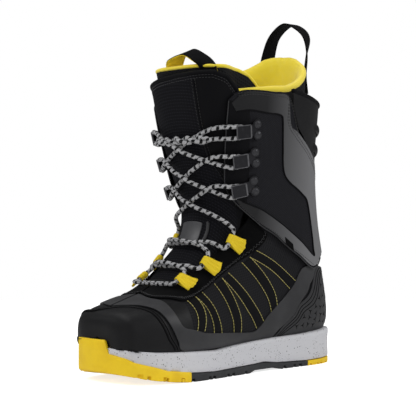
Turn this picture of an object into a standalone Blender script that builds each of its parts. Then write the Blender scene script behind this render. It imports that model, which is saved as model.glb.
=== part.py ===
"""Left snowboard boot: an outer boot with a laced front, an inner liner and a cup sole.

Frame: +Z up, the toe towards -Y, the outer (lateral) side towards +X, origin at the
bottom centre. Lengths are millimetres times MM, so the model is in metres.

The upper is a set of sewn panels laid on one boot surface. A place on that surface is
(v, a): v counts the stations from the toe (0) to the top of the shaft (14), and a is the
angle round the station in degrees: 0 along the front, 90 at the side, 180 at the sole or
the back. The medial side has negative angles. Panels sit in layers, measured outwards.
"""
import math

import bmesh
import bpy
import numpy as np
from mathutils import Matrix, Vector

MM = 0.001

# Driving dimensions, in millimetres
SOLE_TOP = [(-150, 33), (-120, 29), (-95, 28), (-47, 26), (-20, 28.5), (10, 30.3),
            (47, 31.7), (82, 32.5), (110, 34), (150, 37.5)]   # (y, z) of the midsole's top edge
MIDSOLE_BOTTOM = [(-150, 18), (-125, 13), (-100, 9.5), (-50, 7), (10, 8.5), (25, 9.5),
                  (45, 7), (90, 5.5), (150, 6.5)]              # (y, z)
GAP = 0.4              # between neighbouring pieces
FEATHER_GAP = 1.5      # between the upper's lower edge and the midsole
ANKLE_AXIS = (0.0, 82.0, 108.0)
FLEX_WEDGE = 12.0      # degrees kept open in front of the ankle axis
LACE_RADIUS = 2.1
LACE_SPAN = 16.0       # longest stretch between two points of the lace
OUTSOLE_TOE_END = -84.0
OUTSOLE_HEEL_START = 92.0
WELT_WALL = 3.2        # thickness of the toe rubber's upstanding wall
SHANK = (-3.6, -1.0)   # bottom and top, from the midsole's top
SHANK_HALF = (17.0, 74.0)
BOARD = (0.4, 1.8)     # the lasting board's bottom and top, from the midsole's top
LINER_FLOOR = 6.0      # inner face of the liner's floor, from the midsole's top
FOOTBED = (7.4, 10.8)
TOP_PLANE = -4.0       # top of the lower boot's inner layers, from the ankle axis

# Layers: (inner, outer) distance from the boot surface
LINER = (-9.1, -6.7)
LINER_SHAFT = (-12.0, -9.6)
UPPER = (-3.9, -2.6)
TRIM = (-1.4, -0.1)
TONGUE = (-3.0, -0.9)
TONGUE_INSTEP = (-5.6, -4.2)
CUFF_LOW = (1.5, 2.8)
CUFF_HIGH = (0.0, 1.4)
OVERLAY_RISE = 2.8     # from the cuff's inner face to the overlay's inner face
OVERLAY_THICK = 0.9

# Stations of the boot surface: front (y, z), back (y, z), half widths lateral and medial,
# centre x, share of the depth behind the widest line, roundness front and back
STATIONS = np.array([
    (-146, 42, -146, 42, 0, 0, -7, .50, 2.0, 2.0),
    (-145.5, 58, -145.5, 25, 29, 26, -6, .46, 3.2, 2.8),
    (-137, 67.5, -137, 21, 43, 38.5, -5, .40, 3.4, 3.2),
    (-116, 75, -117, 20, 52, 46.5, -3, .36, 3.0, 3.6),
    (-90, 84, -88, 20, 56, 50, -1, .34, 2.4, 3.8),
    (-66, 99, -48, 21, 54, 50, 0, .32, 2.3, 4.2),
    (-48, 118, -6, 23, 50, 47, 0, .33, 2.3, 4.6),
    (-34, 140, 44, 26, 47, 45, 0, .35, 2.4, 5.0),
    (-29, 164, 104, 28, 47, 46, 0, .40, 2.5, 4.8),
    (-34, 188, 141, 38, 48.5, 48, 0, .46, 2.7, 3.3),
    (-41, 212, 138.5, 95, 51.5, 52, 0, .50, 2.8, 2.5),
    (-47, 237, 128.5, 150, 56, 57, 0, .52, 2.8, 2.3),
    (-53, 262, 123, 205, 60, 61, 0, .52, 2.8, 2.3),
    (-60, 292, 127.5, 262, 63.5, 64, 0, .52, 2.8, 2.3),
    (-66, 316, 130, 318, 64.5, 65, 0, .52, 2.8, 2.3),
], float)

# Half of the sole's plan outline, toe to heel: (y, lateral x, medial x)
SOLE_PLAN = [(-145, 17, -29), (-139, 35, -39.5), (-121, 48.5, -47.5), (-93, 55, -50.5),
             (-62, 55.5, -50.5), (-22, 51.5, -47), (20, 47.5, -45), (60, 46, -44.5),
             (98, 45.5, -45), (122, 42, -42), (139, 31, -31)]
SOLE_TOE = (-7, -147.5)
SOLE_HEEL = (0, 148.0)

# Material looks: base colour (linear), roughness, metallic
LOOKS = {
    "black_leather": ((.012, .012, .014), .5, 0), "ripstop": ((.018, .018, .022), .7, 0),
    "grey_film": ((.07, .07, .075), .4, 0), "suede": ((.006, .006, .006), .95, 0),
    "grey_fabric": ((.03, .03, .033), .8, 0), "counter_plastic": ((.05, .05, .055), .45, 0),
    "yellow_webbing": ((.83, .60, .02), .75, 0), "black_webbing": ((.02, .02, .022), .75, 0),
    "yellow_rubber": ((.78, .50, .03), .6, 0), "white_foam": ((.72, .72, .74), .6, 0),
    "black_rubber": ((.04, .042, .045), .7, 0), "board": ((.35, .25, .15), .8, 0),
    "liner_foam": ((.02, .02, .022), .9, 0), "lace_cord": ((.25, .25, .26), .8, 0),
    "dark_metal": ((.03, .03, .033), .4, .8), "steel": ((.5, .5, .52), .3, 1),
}


def clear_scene():
    for obj in list(bpy.data.objects):
        bpy.data.objects.remove(obj, do_unlink=True)


def new_collection(name, hidden=False):
    collection = bpy.data.collections.new(name)
    bpy.context.scene.collection.children.link(collection)
    collection.hide_render = hidden
    return collection


def look(name):
    material = bpy.data.materials.get(name)
    if material is None:
        colour, roughness, metallic = LOOKS[name]
        material = bpy.data.materials.new(name)
        material.use_nodes = True
        shader = material.node_tree.nodes["Principled BSDF"]
        shader.inputs["Base Color"].default_value = (*colour, 1)
        shader.inputs["Roughness"].default_value = roughness
        shader.inputs["Metallic"].default_value = metallic
    return material


# ---------------------------------------------------------------- the boot surface

def smooth(table, v):
    """A smooth curve through the rows of table, read at the row numbers v."""
    table = np.asarray(table, float)
    last = len(table) - 1
    v = np.clip(np.asarray(v, float), 0, last)
    i = np.minimum(v.astype(int), last - 1)
    t = (v - i)[..., None]
    before, start = table[np.maximum(i - 1, 0)], table[i]
    end, after = table[i + 1], table[np.minimum(i + 2, last)]
    slope_in = np.where((i == 0)[..., None], end - start, (end - before) / 2)
    slope_out = np.where((i == last - 1)[..., None], end - start, (after - start) / 2)
    return ((2 * t**3 - 3 * t**2 + 1) * start + (t**3 - 2 * t**2 + t) * slope_in
            + (3 * t**2 - 2 * t**3) * end + (t**3 - t**2) * slope_out)


def surface(v, a):
    """Points of the boot surface, in millimetres."""
    v, a = np.broadcast_arrays(np.asarray(v, float), (np.asarray(a, float) + 180) % 360 - 180)
    station = smooth(STATIONS, v)
    front_y, front_z, back_y, back_z, lateral, medial, centre, share, n_front, n_back = (
        station[..., k] for k in range(10))
    c, s = np.cos(np.radians(a)), np.abs(np.sin(np.radians(a)))
    n = np.where(c > 0, n_front, n_back)
    radius = (np.abs(c)**n + s**n)**(-1 / n)
    along = np.where(c > 0, share + (1 - share) * c * radius, share * (1 + c * radius))
    x = centre + np.sign(a) * np.where(a >= 0, lateral, medial) * s * radius
    return np.stack([x, back_y + (front_y - back_y) * along,
                     back_z + (front_z - back_z) * along], -1)


def normal(v, a):
    """Outward unit normals of the boot surface."""
    v, a = np.broadcast_arrays(np.asarray(v, float), np.asarray(a, float))
    low, high = np.clip(v - .04, .02, 13.96), np.clip(v + .04, .06, 14)
    up = surface(high, a) - surface(low, a)
    round_ = surface(v, a + 1.5) - surface(v, a - 1.5)
    n = np.cross(round_, up)
    return n / np.maximum(np.linalg.norm(n, axis=-1, keepdims=True), 1e-9)


def at(v, a, rise=0.0):
    """A point rise millimetres above the boot surface."""
    return surface(v, a) + normal(v, a) * np.asarray(rise)[..., None]


def height_on(table, y):
    ys, zs = zip(*table)
    return np.interp(y, ys, zs)


def toe_wall_top(x, y, spread=0.0):
    """Height of the toe rubber's wall: high across the toe, low along the sides.

    spread widens the high part."""
    side = np.interp(y, [-147, -138, -110, -84], [27, 20, 11.5, 8.5])
    front = (39.0 * (1 - np.clip((x - 6 - spread) / 15, 0, 1))
             * (1 - np.clip((-40 - spread - x) / 7, 0, 1)))
    return np.maximum(side, np.where(y < -120 + spread, front, 0))


def feather(p):
    """Height of the upper's lower edge: just above the midsole and the toe rubber."""
    return np.maximum(height_on(SOLE_TOP, p[..., 1]),
                      toe_wall_top(p[..., 0], p[..., 1], spread=8)) + FEATHER_GAP


def ring_angle(v, keep, side=1):
    """The angle where keep(point) turns false, going from the front to the back."""
    angles = np.linspace(0, 180, 361) * side
    kept = keep(surface(v, angles))
    if kept.all():
        return 180.0 * side
    if not kept[0]:
        return 0.0
    first = int(np.argmin(kept))
    return float(angles[first - 1])


def above_sole(p):
    return (p[..., 2] > feather(p)) | (p[..., 2] > 60)


def sole_angle(v, side=1):
    return ring_angle(v, above_sole, side)


# ---------------------------------------------------------------- making objects

class Shop:
    """Holds the collection that the finished pieces go into."""
    parts = None
    cutters = None


def mesh_object(name, material, bm, cutter=False):
    mesh = bpy.data.meshes.new(name)
    bm.to_mesh(mesh)
    bm.free()
    mesh.materials.append(look(material))
    obj = bpy.data.objects.new(name, mesh)
    (Shop.cutters if cutter else Shop.parts).objects.link(obj)
    if cutter:
        obj.hide_render = True
        obj.display_type = "WIRE"
    return obj


def finish_mesh(obj, angle=40):
    obj.data.shade_smooth()
    obj.data.set_sharp_from_angle(angle=math.radians(angle))
    return obj


def solidify(obj, thickness):
    wall = obj.modifiers.new("wall", "SOLIDIFY")
    wall.thickness = thickness * MM
    wall.offset = 1
    wall.use_even_offset = False
    return obj


def lay(name, material, grids, layer, layer_at=None, floor=None):
    """A panel: grids of (v, a) points laid at the layer's inner face, then thickened.

    floor flattens whatever would reach lower than that height above the midsole's top."""
    bm = bmesh.new()
    thickness = layer[1] - layer[0]
    for grid in grids:
        grid = np.asarray(grid, float)
        rise = layer[0] if layer_at is None else layer_at(grid[..., 0], grid[..., 1])
        points = surface(grid[..., 0], grid[..., 1]) + normal(
            grid[..., 0], grid[..., 1]) * np.broadcast_to(rise, grid.shape[:2])[..., None]
        if floor is not None:
            points[..., 2] = np.maximum(points[..., 2], height_on(SOLE_TOP, points[..., 1]) + floor)
        rows = [[bm.verts.new(Vector(p) * MM) for p in row] for row in points]
        for low, high in zip(rows, rows[1:]):
            for k in range(len(low) - 1):
                bm.faces.new((low[k], low[k + 1], high[k + 1], high[k]))
    bmesh.ops.remove_doubles(bm, verts=bm.verts, dist=0.00005)
    bmesh.ops.dissolve_degenerate(bm, edges=bm.edges, dist=0.00002)
    bmesh.ops.recalc_face_normals(bm, faces=bm.faces)
    turn_outwards(bm)
    obj = mesh_object(name, material, bm)
    solidify(obj, thickness)
    return finish_mesh(obj)


def turn_outwards(bm):
    """Faces point away from the boot's own axis."""
    score = 0.0
    for face in bm.faces:
        c = face.calc_center_median()
        inside = Vector((0, min(max(c.y, -.11), .04), .055 if c.z < .12 else c.z))
        score += (c - inside).dot(face.normal) * face.calc_area()
    if score < 0:
        bmesh.ops.reverse_faces(bm, faces=bm.faces)


def band(upper, lower, across, along):
    """A grid between two edges, each given by a few (v, a) points."""
    s = np.linspace(0, 1, along)
    u = smooth(upper, s * (len(upper) - 1))
    w = smooth(lower, s * (len(lower) - 1))
    t = np.linspace(0, 1, across)[:, None, None]
    return u * (1 - t) + w * t


def mirrored(grid):
    return np.array(grid) * (1, -1)


def rows_grid(vs, first, last, count):
    """Rows of constant v, each from angle first(v) to last(v)."""
    rows = []
    for v in vs:
        a0, a1 = first(v), last(v)
        rows.append([(v, a0 + (a1 - a0) * k / (count - 1)) for k in range(count)])
    return np.array(rows)


def interp(table, v):
    xs, ys = zip(*table)
    return float(np.interp(v, xs, ys))


# ---------------------------------------------------------------- the sole

def plan_outline(inset=0.0, count=44):
    lateral = [(x, y) for y, x, _ in SOLE_PLAN]
    medial = [(x, y) for y, _, x in reversed(SOLE_PLAN)]
    points = np.array([SOLE_TOE] + lateral + [SOLE_HEEL] + medial, float)
    ring = np.vstack([points[-1:], points, points[:2]])
    s = np.linspace(1, 1 + len(points), count, endpoint=False)
    curve = smooth(ring, s)
    ahead, behind = smooth(ring, s + .05), smooth(ring, s - .05)
    along = ahead - behind
    along /= np.linalg.norm(along, axis=1, keepdims=True)
    outward = np.stack([along[:, 1], -along[:, 0]], 1)
    return curve - outward * inset


def prism(name, material, outline, low, high, cutter=False):
    """An upright prism on a plan outline."""
    bm = bmesh.new()
    verts = [bm.verts.new(Vector((x, y, low)) * MM) for x, y in outline]
    face = bm.faces.new(verts)
    top = bmesh.ops.extrude_face_region(bm, geom=[face])
    bmesh.ops.translate(bm, vec=Vector((0, 0, (high - low) * MM)),
                        verts=[g for g in top["geom"] if isinstance(g, bmesh.types.BMVert)])
    bmesh.ops.recalc_face_normals(bm, faces=bm.faces)
    return mesh_object(name, material, bm, cutter)


def side_profile(name, outline, half_width=80.0):
    """A cutter: a (y, z) outline carried straight across the boot."""
    bm = bmesh.new()
    verts = [bm.verts.new(Vector((-half_width, y, z)) * MM) for y, z in outline]
    face = bm.faces.new(verts)
    across = bmesh.ops.extrude_face_region(bm, geom=[face])
    bmesh.ops.translate(bm, vec=Vector((2 * half_width * MM, 0, 0)),
                        verts=[g for g in across["geom"] if isinstance(g, bmesh.types.BMVert)])
    bmesh.ops.recalc_face_normals(bm, faces=bm.faces)
    return mesh_object(name, "board", bm, cutter=True)


def boxes(name, places):
    """A cutter of separate boxes, each (centre, size, turn about Z in degrees)."""
    bm = bmesh.new()
    for centre, size, turn in places:
        shape = (Matrix.Translation(Vector(centre) * MM)
                 @ Matrix.Rotation(math.radians(turn), 4, "Z")
                 @ Matrix.Diagonal((*(Vector(size) * MM), 1)))
        bmesh.ops.create_cube(bm, size=1, matrix=shape)
    return mesh_object(name, "board", bm, cutter=True)


def boolean(obj, other, operation, solver="MANIFOLD"):
    cut = obj.modifiers.new(operation.lower(), "BOOLEAN")
    cut.operation = operation
    cut.object = other
    cut.solver = solver


def strip(table, y0, y1, step=12.0, lift=0.0):
    """Points of a (y, z) table between y0 and y1."""
    ys = np.linspace(y0, y1, max(2, int(abs(y1 - y0) / step) + 1))
    return [(float(y), float(height_on(table, y) + lift)) for y in ys]


def toe_wall(name, inset, lift, low, material="yellow_rubber", cutter=False, outer=0.0):
    """The upstanding wall of the toe rubber, round the front of the sole."""
    count = 88
    out, inn = plan_outline(outer, count), plan_outline(inset, count)
    edge = plan_outline(0, count)
    keep = [k for k in range(count) if edge[k][1] < OUTSOLE_TOE_END - 1]
    first = next(k for k in keep if (k - 1) % count not in keep)
    order = [(first + k) % count for k in range(len(keep))]
    bm = bmesh.new()
    sections = []
    for k in order:
        top = float(toe_wall_top(*edge[k])) + lift
        sections.append([bm.verts.new(Vector((*p, z)) * MM) for p, z in
                         ((out[k], low), (out[k], top), (inn[k], top), (inn[k], low))])
    for one, two in zip(sections, sections[1:]):
        for k in range(4):
            bm.faces.new((one[k], one[(k + 1) % 4], two[(k + 1) % 4], two[k]))
    bm.faces.new(sections[0])
    bm.faces.new(sections[-1][::-1])
    bmesh.ops.recalc_face_normals(bm, faces=bm.faces)
    return mesh_object(name, material, bm, cutter)


def tread_grooves(ys, depth, width, top=1.0):
    """Grooves that run in from both edges of the tread and leave the middle whole."""
    places = []
    for k, y in enumerate(ys):
        lift = depth / 2 - top
        lean = 14 if k % 2 else -14
        places.append(((38, y, lift), (44, width, depth), lean))
        places.append(((-38, y, lift), (44, width, depth), -lean))
    return places


def midsole():
    outline = strip(MIDSOLE_BOTTOM, -160, 160) + strip(SOLE_TOP, 160, -160)
    obj = prism("midsole", "white_foam", plan_outline(0.4), 2, 45)
    boolean(obj, side_profile("cut_midsole_side", outline), "INTERSECT")
    boolean(obj, toe_wall("cut_midsole_toe", WELT_WALL + GAP, GAP, 0, cutter=True, outer=-6),
            "DIFFERENCE")
    recess = plate_between("cut_shank_recess", "board", shank_outline(GAP), SHANK[0] - GAP, 20,
                           cutter=True)
    boolean(obj, recess, "DIFFERENCE")
    return finish_mesh(obj, 30)


def outsole_toe():
    ground = [(-160, 11.5), (-148, 9.8), (-140, 7.8), (-130, 5.4), (-118, 3.4), (-100, 1.2),
              (OUTSOLE_TOE_END, 0)]
    outline = ground + strip(MIDSOLE_BOTTOM, OUTSOLE_TOE_END, -160, lift=-GAP)
    obj = prism("outsole_toe", "yellow_rubber", plan_outline(0), -1, 30)
    boolean(obj, side_profile("cut_toe_side", outline), "INTERSECT")
    grooves = tread_grooves([-92, -104, -116, -128], 3.6, 3.4, top=.6)
    lifted = [((x, y, z + interp([(-130, 6), (-118, 3.4), (-100, 1.2), (-84, 0)], y)), s, t)
              for (x, y, z), s, t in grooves]
    boolean(obj, boxes("cut_toe_tread", lifted), "DIFFERENCE")
    wall = toe_wall("cut_toe_wall", WELT_WALL, 0, 0, cutter=True, outer=.02)
    ground_side = side_profile("cut_toe_ground", ground + [(OUTSOLE_TOE_END, 60), (-160, 60)])
    boolean(wall, ground_side, "INTERSECT")
    boolean(obj, wall, "UNION")
    return finish_mesh(obj, 30)


def outsole_middle():
    y0, y1 = OUTSOLE_TOE_END + GAP, OUTSOLE_HEEL_START - GAP
    outline = ([(y0, 0), (2, 0), (10, 2.5), (44, 2.5), (52, 0), (y1, 0)]
               + strip(MIDSOLE_BOTTOM, y1, y0, lift=-GAP))
    obj = prism("outsole_middle", "black_rubber", plan_outline(1.2), -1, 30)
    boolean(obj, side_profile("cut_middle_side", outline), "INTERSECT")
    grooves = tread_grooves([-68, -52, -36, -20, -5, 62, 77], 4.4, 4.5)
    boolean(obj, boxes("cut_middle_tread", grooves), "DIFFERENCE")
    return finish_mesh(obj, 30)


def outsole_heel():
    outline = ([(OUTSOLE_HEEL_START, 0), (138, 0), (160, 5)]
               + strip(MIDSOLE_BOTTOM, 160, OUTSOLE_HEEL_START, lift=-GAP))
    obj = prism("outsole_heel", "yellow_rubber", plan_outline(0.8), -1, 30)
    boolean(obj, side_profile("cut_heel_side", outline), "INTERSECT")
    grooves = tread_grooves([106, 119, 132], 3.6, 3.4)
    boolean(obj, boxes("cut_heel_tread", grooves), "DIFFERENCE")
    return finish_mesh(obj, 30)


def shank_outline(grow=0.0):
    """The stiffening shank: a long oval under the arch."""
    turn = np.radians(np.linspace(0, 360, 28, endpoint=False))
    return [((SHANK_HALF[0] + grow) * math.sin(t), 12 + (SHANK_HALF[1] + grow) * math.cos(t))
            for t in turn]


def plate_between(name, material, outline, low, high, cutter=False, steps=13):
    """A plate whose faces follow the sole's top line at heights low and high above it."""
    bm = bmesh.new()
    ys = [y for _, y in outline]
    middle, reach = (max(ys) + min(ys)) / 2, (max(ys) - min(ys)) / 2
    rows = []
    for t in np.linspace(-math.pi / 2 + .12, math.pi / 2 - .12, steps):
        y = middle + reach * math.sin(t)
        left, right = crossings(outline, y)
        z = float(height_on(SOLE_TOP, y))
        rows.append([bm.verts.new(Vector(p) * MM) for p in
                     ((left, y, z + low), (right, y, z + low), (right, y, z + high),
                      (left, y, z + high))])
    for one, two in zip(rows, rows[1:]):
        for k in range(4):
            bm.faces.new((one[k], one[(k + 1) % 4], two[(k + 1) % 4], two[k]))
    bm.faces.new(rows[0])
    bm.faces.new(rows[-1][::-1])
    bmesh.ops.recalc_face_normals(bm, faces=bm.faces)
    return finish_mesh(mesh_object(name, material, bm, cutter), 30)


def crossings(outline, y):
    """The two x values where the closed outline crosses the line at y."""
    xs = []
    for (x0, y0), (x1, y1) in zip(outline, list(outline[1:]) + [outline[0]]):
        if (y0 - y) * (y1 - y) <= 0 and y0 != y1:
            xs.append(x0 + (x1 - x0) * (y - y0) / (y1 - y0))
    return min(xs), max(xs)


# ---------------------------------------------------------------- the outer boot, lower part

# Edges of the panels: lists of (v, a)
TOE_CAP_EDGE = [(0, 2.25), (34, 2.74), (48, 3.02), (58, 3.15), (71, 3.30), (83, 3.43),
                (106, 3.66), (124, 3.81), (180, 3.9)]          # (a, v)
VAMP_BACK = [(0, 4.3), (22, 4.3), (49, 4.35), (65, 4.32), (79, 4.45), (88, 4.60),
             (124, 4.70), (180, 4.8)]                          # (a, v)
QUARTER_TOP = [(4.45, 41), (5.2, 44), (6.1, 47), (7.1, 52), (8.0, 57), (8.7, 62), (9.1, 66),
               (9.4, 72), (9.6, 82), (9.68, 100), (9.72, 118), (9.9, 140), (10.05, 162)]
RAND_UPPER = [(3.68, 33), (3.68, 52), (3.79, 68), (3.96, 78), (4.40, 85), (5.26, 101),
              (6.33, 118), (6.71, 116), (7.22, 105), (7.86, 98), (8.70, 98), (9.16, 102),
              (9.50, 112)]
RAND_LOWER = [(2.90, 35), (3.16, 48), (3.40, 68), (3.66, 92), (3.92, 121), (5.3, 128),
              (6.3, 133), (6.9, 135), (7.28, 124), (8.25, 110.5), (8.95, 110.5), (9.2, 113),
              (9.62, 121.5)]
EYESTAY_INNER = [(4.22, 1), (4.27, 14), (4.5, 23), (5.1, 30), (6.1, 37), (7.1, 44), (8.0, 50),
                 (8.9, 57)]
EYESTAY_OUTER = [(3.72, 1), (3.55, 22), (3.97, 37), (4.40, 49), (5.16, 52), (6.2, 55),
                 (7.2, 59.5), (9.0, 71)]
COUNTER_EDGE = [(7.1, 150), (7.32, 126), (7.8, 118), (8.27, 113.5), (9.18, 116.5),
                (9.67, 125.5), (9.9, 144), (10.1, 165)]        # (v, a)
CUFF_EDGE = [(9.3, 41), (8.92, 50), (8.98, 64), (9.18, 75), (9.24, 84), (9.36, 98), (9.46, 113),
             (9.95, 130), (10.25, 150), (10.32, 179.6)]
CUFF_TOP = [(12.26, 49), (12.56, 56), (12.72, 66), (12.84, 82), (12.88, 96), (12.29, 106),
            (12.03, 120), (11.75, 150), (11.65, 179.6)]
OVERLAY_OUTER = [(12.20, 51), (12.51, 58), (12.68, 68), (12.80, 84), (12.84, 95), (12.29, 99),
                 (12.2, 107), (12.0, 125), (11.78, 150), (11.68, 174), (11.2, 174), (10.7, 174), (10.36, 150),
                 (9.99, 130), (9.50, 113), (9.40, 98), (9.28, 84), (9.22, 75), (9.03, 63),
                 (8.98, 53), (9.1, 47)]
OVERLAY_INNER = [(12.0, 54), (12.19, 64), (12.3, 78), (12.38, 88), (12.30, 91.5), (11.7, 92),
                 (11.12, 92), (10.94, 96), (10.92, 106), (10.91, 111), (10.87, 116), (10.6, 118), (10.2, 118),
                 (9.9, 117), (9.74, 116), (9.74, 102), (9.69, 87), (9.62, 77), (9.56, 67),
                 (9.3, 58), (9.22, 51)]
BACKSTAY_EDGE = [(11.76, 151), (12.05, 120.5), (12.31, 107), (12.7, 100.5), (13.03, 100)]  # (v, a)
TONGUE_HALF = [(7.75, 38), (8.6, 44), (9.2, 55), (9.6, 60), (13.2, 62)]
INSTEP_HALF = [(4.3, 22), (5.0, 33), (6.0, 42), (7.0, 49), (7.3, 51)]


def toe_cap():
    rows = []
    for a in np.linspace(-124, 124, 21):
        end = interp(TOE_CAP_EDGE, abs(a))
        rows.append([(end * t, a) for t in np.linspace(0, 1, 9)])
    grid = np.array(rows)
    for row in grid:
        side = -1 if row[0][1] < 0 else 1
        for place in row:
            place[1] = side * min(abs(place[1]), abs(sole_angle(max(place[0], .05), side)))
    return lay("toe_cap", "black_leather", [grid], TRIM)


def vamp():
    vs = np.linspace(0, 1, 7)
    grid = []
    for share in np.linspace(-1, 1, 19):
        side = -1 if share < 0 else 1
        line = []
        for t in vs:
            v = 1.9 + t * (interp(VAMP_BACK, abs(share) * 126) - 1.9)
            line.append((v, side * abs(share * sole_angle(v, side)) * .985))
        grid.append(line)
    return lay("vamp", "black_leather", [np.array(grid)], UPPER)


def quarter_grid():
    """The side of the foot; behind, it ends a little way under the heel counter."""
    vs = list(np.linspace(4.78, 9.6, 11)) + [9.85, 10.05]

    def first(v):
        return interp(QUARTER_TOP, v)

    def last(v):
        return min(sole_angle(v), interp(COUNTER_EDGE, v) + 9) if v > 7 else sole_angle(v)

    return rows_grid(vs, first, last, 11)


def eyestay_grid():
    return band(EYESTAY_INNER, EYESTAY_OUTER, 4, 15)


def rand_grid():
    grid = band(RAND_UPPER, RAND_LOWER, 4, 21)
    for row in grid:
        for place in row:
            place[1] = min(place[1], abs(sole_angle(place[0])))
    return grid


def heel_counter():
    vs = [7.1, 7.4, 7.8, 8.2, 8.6, 8.85, 9.1, 9.4, 9.7, 9.9, 10.1]

    def edge(v):
        return min(interp(COUNTER_EDGE, v), sole_angle(v) - .5)

    half = rows_grid(vs, edge, sole_angle, 9)
    return lay("heel_counter", "counter_plastic", [half, mirrored(half)], TRIM)


def tongue_rise(v, a):
    """The tongue dips under the cuff's front edges."""
    return TONGUE[0] - 1.2 * np.clip((np.abs(a) - 38) / 8, 0, 1)


def tongue_grid(table, v0, v1, rows, count):
    def half(v):
        return interp(table, v)

    return rows_grid(np.linspace(v0, v1, rows), lambda v: -half(v), half, count)


def below_ankle(p):
    return p[..., 2] > ANKLE_AXIS[2] + TOP_PLANE


def above_wedge(p):
    reach = np.maximum(ANKLE_AXIS[1] - p[..., 1], 0)
    return p[..., 2] > ANKLE_AXIS[2] + 2 + reach * math.tan(math.radians(FLEX_WEDGE))


def liner_foot_rise(v, a):
    """The liner stands off further over the toes and round the heel."""
    return LINER[0] - 1.2 * np.clip((v - 8) / .8, 0, 1) - 1.0 * np.clip((5.4 - v) / .8, 0, 1)


def liner_foot():
    """The liner's closed foot, up to the level of the ankle axis."""
    vs = [.02, 1.0, 2.0, 3.2, 4.6, 5.6, 6.4, 7.2, 8.0, 8.6, 9.0, 9.4, 9.8, 10.1]

    def opening(v):
        return ring_angle(v, below_ankle)

    half = rows_grid(vs, opening, lambda v: 180.0, 12)
    return lay("liner_foot", "liner_foam", [half, mirrored(half)], LINER, liner_foot_rise,
               floor=LINER_FLOOR)


def liner_rise(v, a):
    """The liner stands off the shaft further up, most at the back."""
    lean = np.clip((v - 10.5) / 2.5, 0, 1)
    return LINER_SHAFT[0] - 4.0 * lean * np.clip((np.abs(a) - 70) / 60, 0, 1)


def collar_v(a):
    """Top of the liner round the leg: low at the sides, raised at the back."""
    return interp([(50, 12.95), (80, 13.0), (105, 13.1), (125, 13.35), (150, 13.95),
                   (180, 14.0)], abs(a))


def liner_cuff():
    angles = np.linspace(62, 179.9, 10)
    grid = []
    for a in angles:
        low = wedge_v(a)
        grid.append([(low + (collar_v(a) - low) * t, a) for t in np.linspace(0, 1, 7)])
    grid = np.array(grid)
    far = grid.copy()
    far[-1, :, 1] = 180
    other = far.copy()[::-1]
    other[..., 1] = -other[..., 1]
    return lay("liner_cuff", "liner_foam", [far, other], LINER_SHAFT, liner_rise)


def wedge_v(a):
    """The lowest station above the flex wedge at angle a."""
    for v in np.arange(7.0, 13.0, .02):
        if above_wedge(surface(v, a)):
            return float(v)
    return 13.0


def liner_tongue():
    """The liner's tongue: lower in the middle, where the pull loop is sewn."""
    grid = []
    for a in np.linspace(-56, 56, 11):
        low = max(7.75, wedge_v(a))
        top = interp([(0, 12.65), (35, 12.65), (47, 13.2), (56, 13.1)], abs(a))
        grid.append([(low + (top - low) * t, a) for t in np.linspace(0, 1, 8)])
    return lay("liner_tongue", "liner_foam", [np.array(grid)], LINER_SHAFT)


def flex_plate():
    grid = [[(v, a) for a in np.linspace(-17, 17, 6)] for v in np.linspace(6.55, 7.35, 4)]
    return lay("flex_plate", "grey_film", [np.array(grid)], (-3.6, -2.6))


# ---------------------------------------------------------------- the cuff

def cuff_rise(v, a):
    """The cuff stands a little prouder where it slides over the lower boot."""
    share = np.clip((v - 9.4) / 1.4, 0, 1)
    return CUFF_LOW[0] * (1 - share) + CUFF_HIGH[0] * share


def overlay_rise(v, a):
    return cuff_rise(v, a) + OVERLAY_RISE


def cuff_grid():
    return band(CUFF_EDGE, CUFF_TOP, 9, 17)


def overlay_grid():
    return band(OVERLAY_OUTER, OVERLAY_INNER, 7, 33)


def backstay():
    vs = [11.78, 11.95, 12.15, 12.35, 12.6, 12.85, 13.03]

    def edge(v):
        return interp(BACKSTAY_EDGE, v)

    half = rows_grid(vs, edge, lambda v: 180.0, 8)
    return lay("backstay", "black_leather", [half, mirrored(half)],
               (CUFF_HIGH[0] + .3, CUFF_HIGH[1] + .3))


def backstay_rib(name, v):
    grid = [[(v + dv, a) for a in np.linspace(-232, -128, 13)] for dv in (-.07, .07)]
    return lay(name, "black_leather", [np.array(grid)], (2.2, 3.8))


# ---------------------------------------------------------------- fittings and lace

HOOKS = [(9.62, 53), (10.58, 56), (11.52, 59)]      # neck of each hook, bottom to top
LOOPS = [(4.80, 27), (6.0, 36.5), (7.41, 46)]        # eye of each webbing loop
HOOK_LIFT = 2.95        # under the base plate, from the boot surface
HOOK_SEAT = 3.65        # lace centre above the base plate's underside
EYE_LIFT = 3.6          # lace centre in a webbing loop


def frame_at(v, a, rise):
    """A frame on the surface: X towards the back, Y up the boot, Z outwards."""
    n = normal(v, a)
    up = surface(v + .03, a) - surface(v - .03, a)
    up -= n * np.dot(up, n)
    up /= np.linalg.norm(up)
    x = np.cross(up, n)
    place = Matrix.Identity(4)
    for k, axis in enumerate((x, up, n)):
        place.col[k] = Vector((*axis, 0))
    place.col[3] = Vector((*(at(v, a, rise) * MM), 1))
    return place


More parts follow.
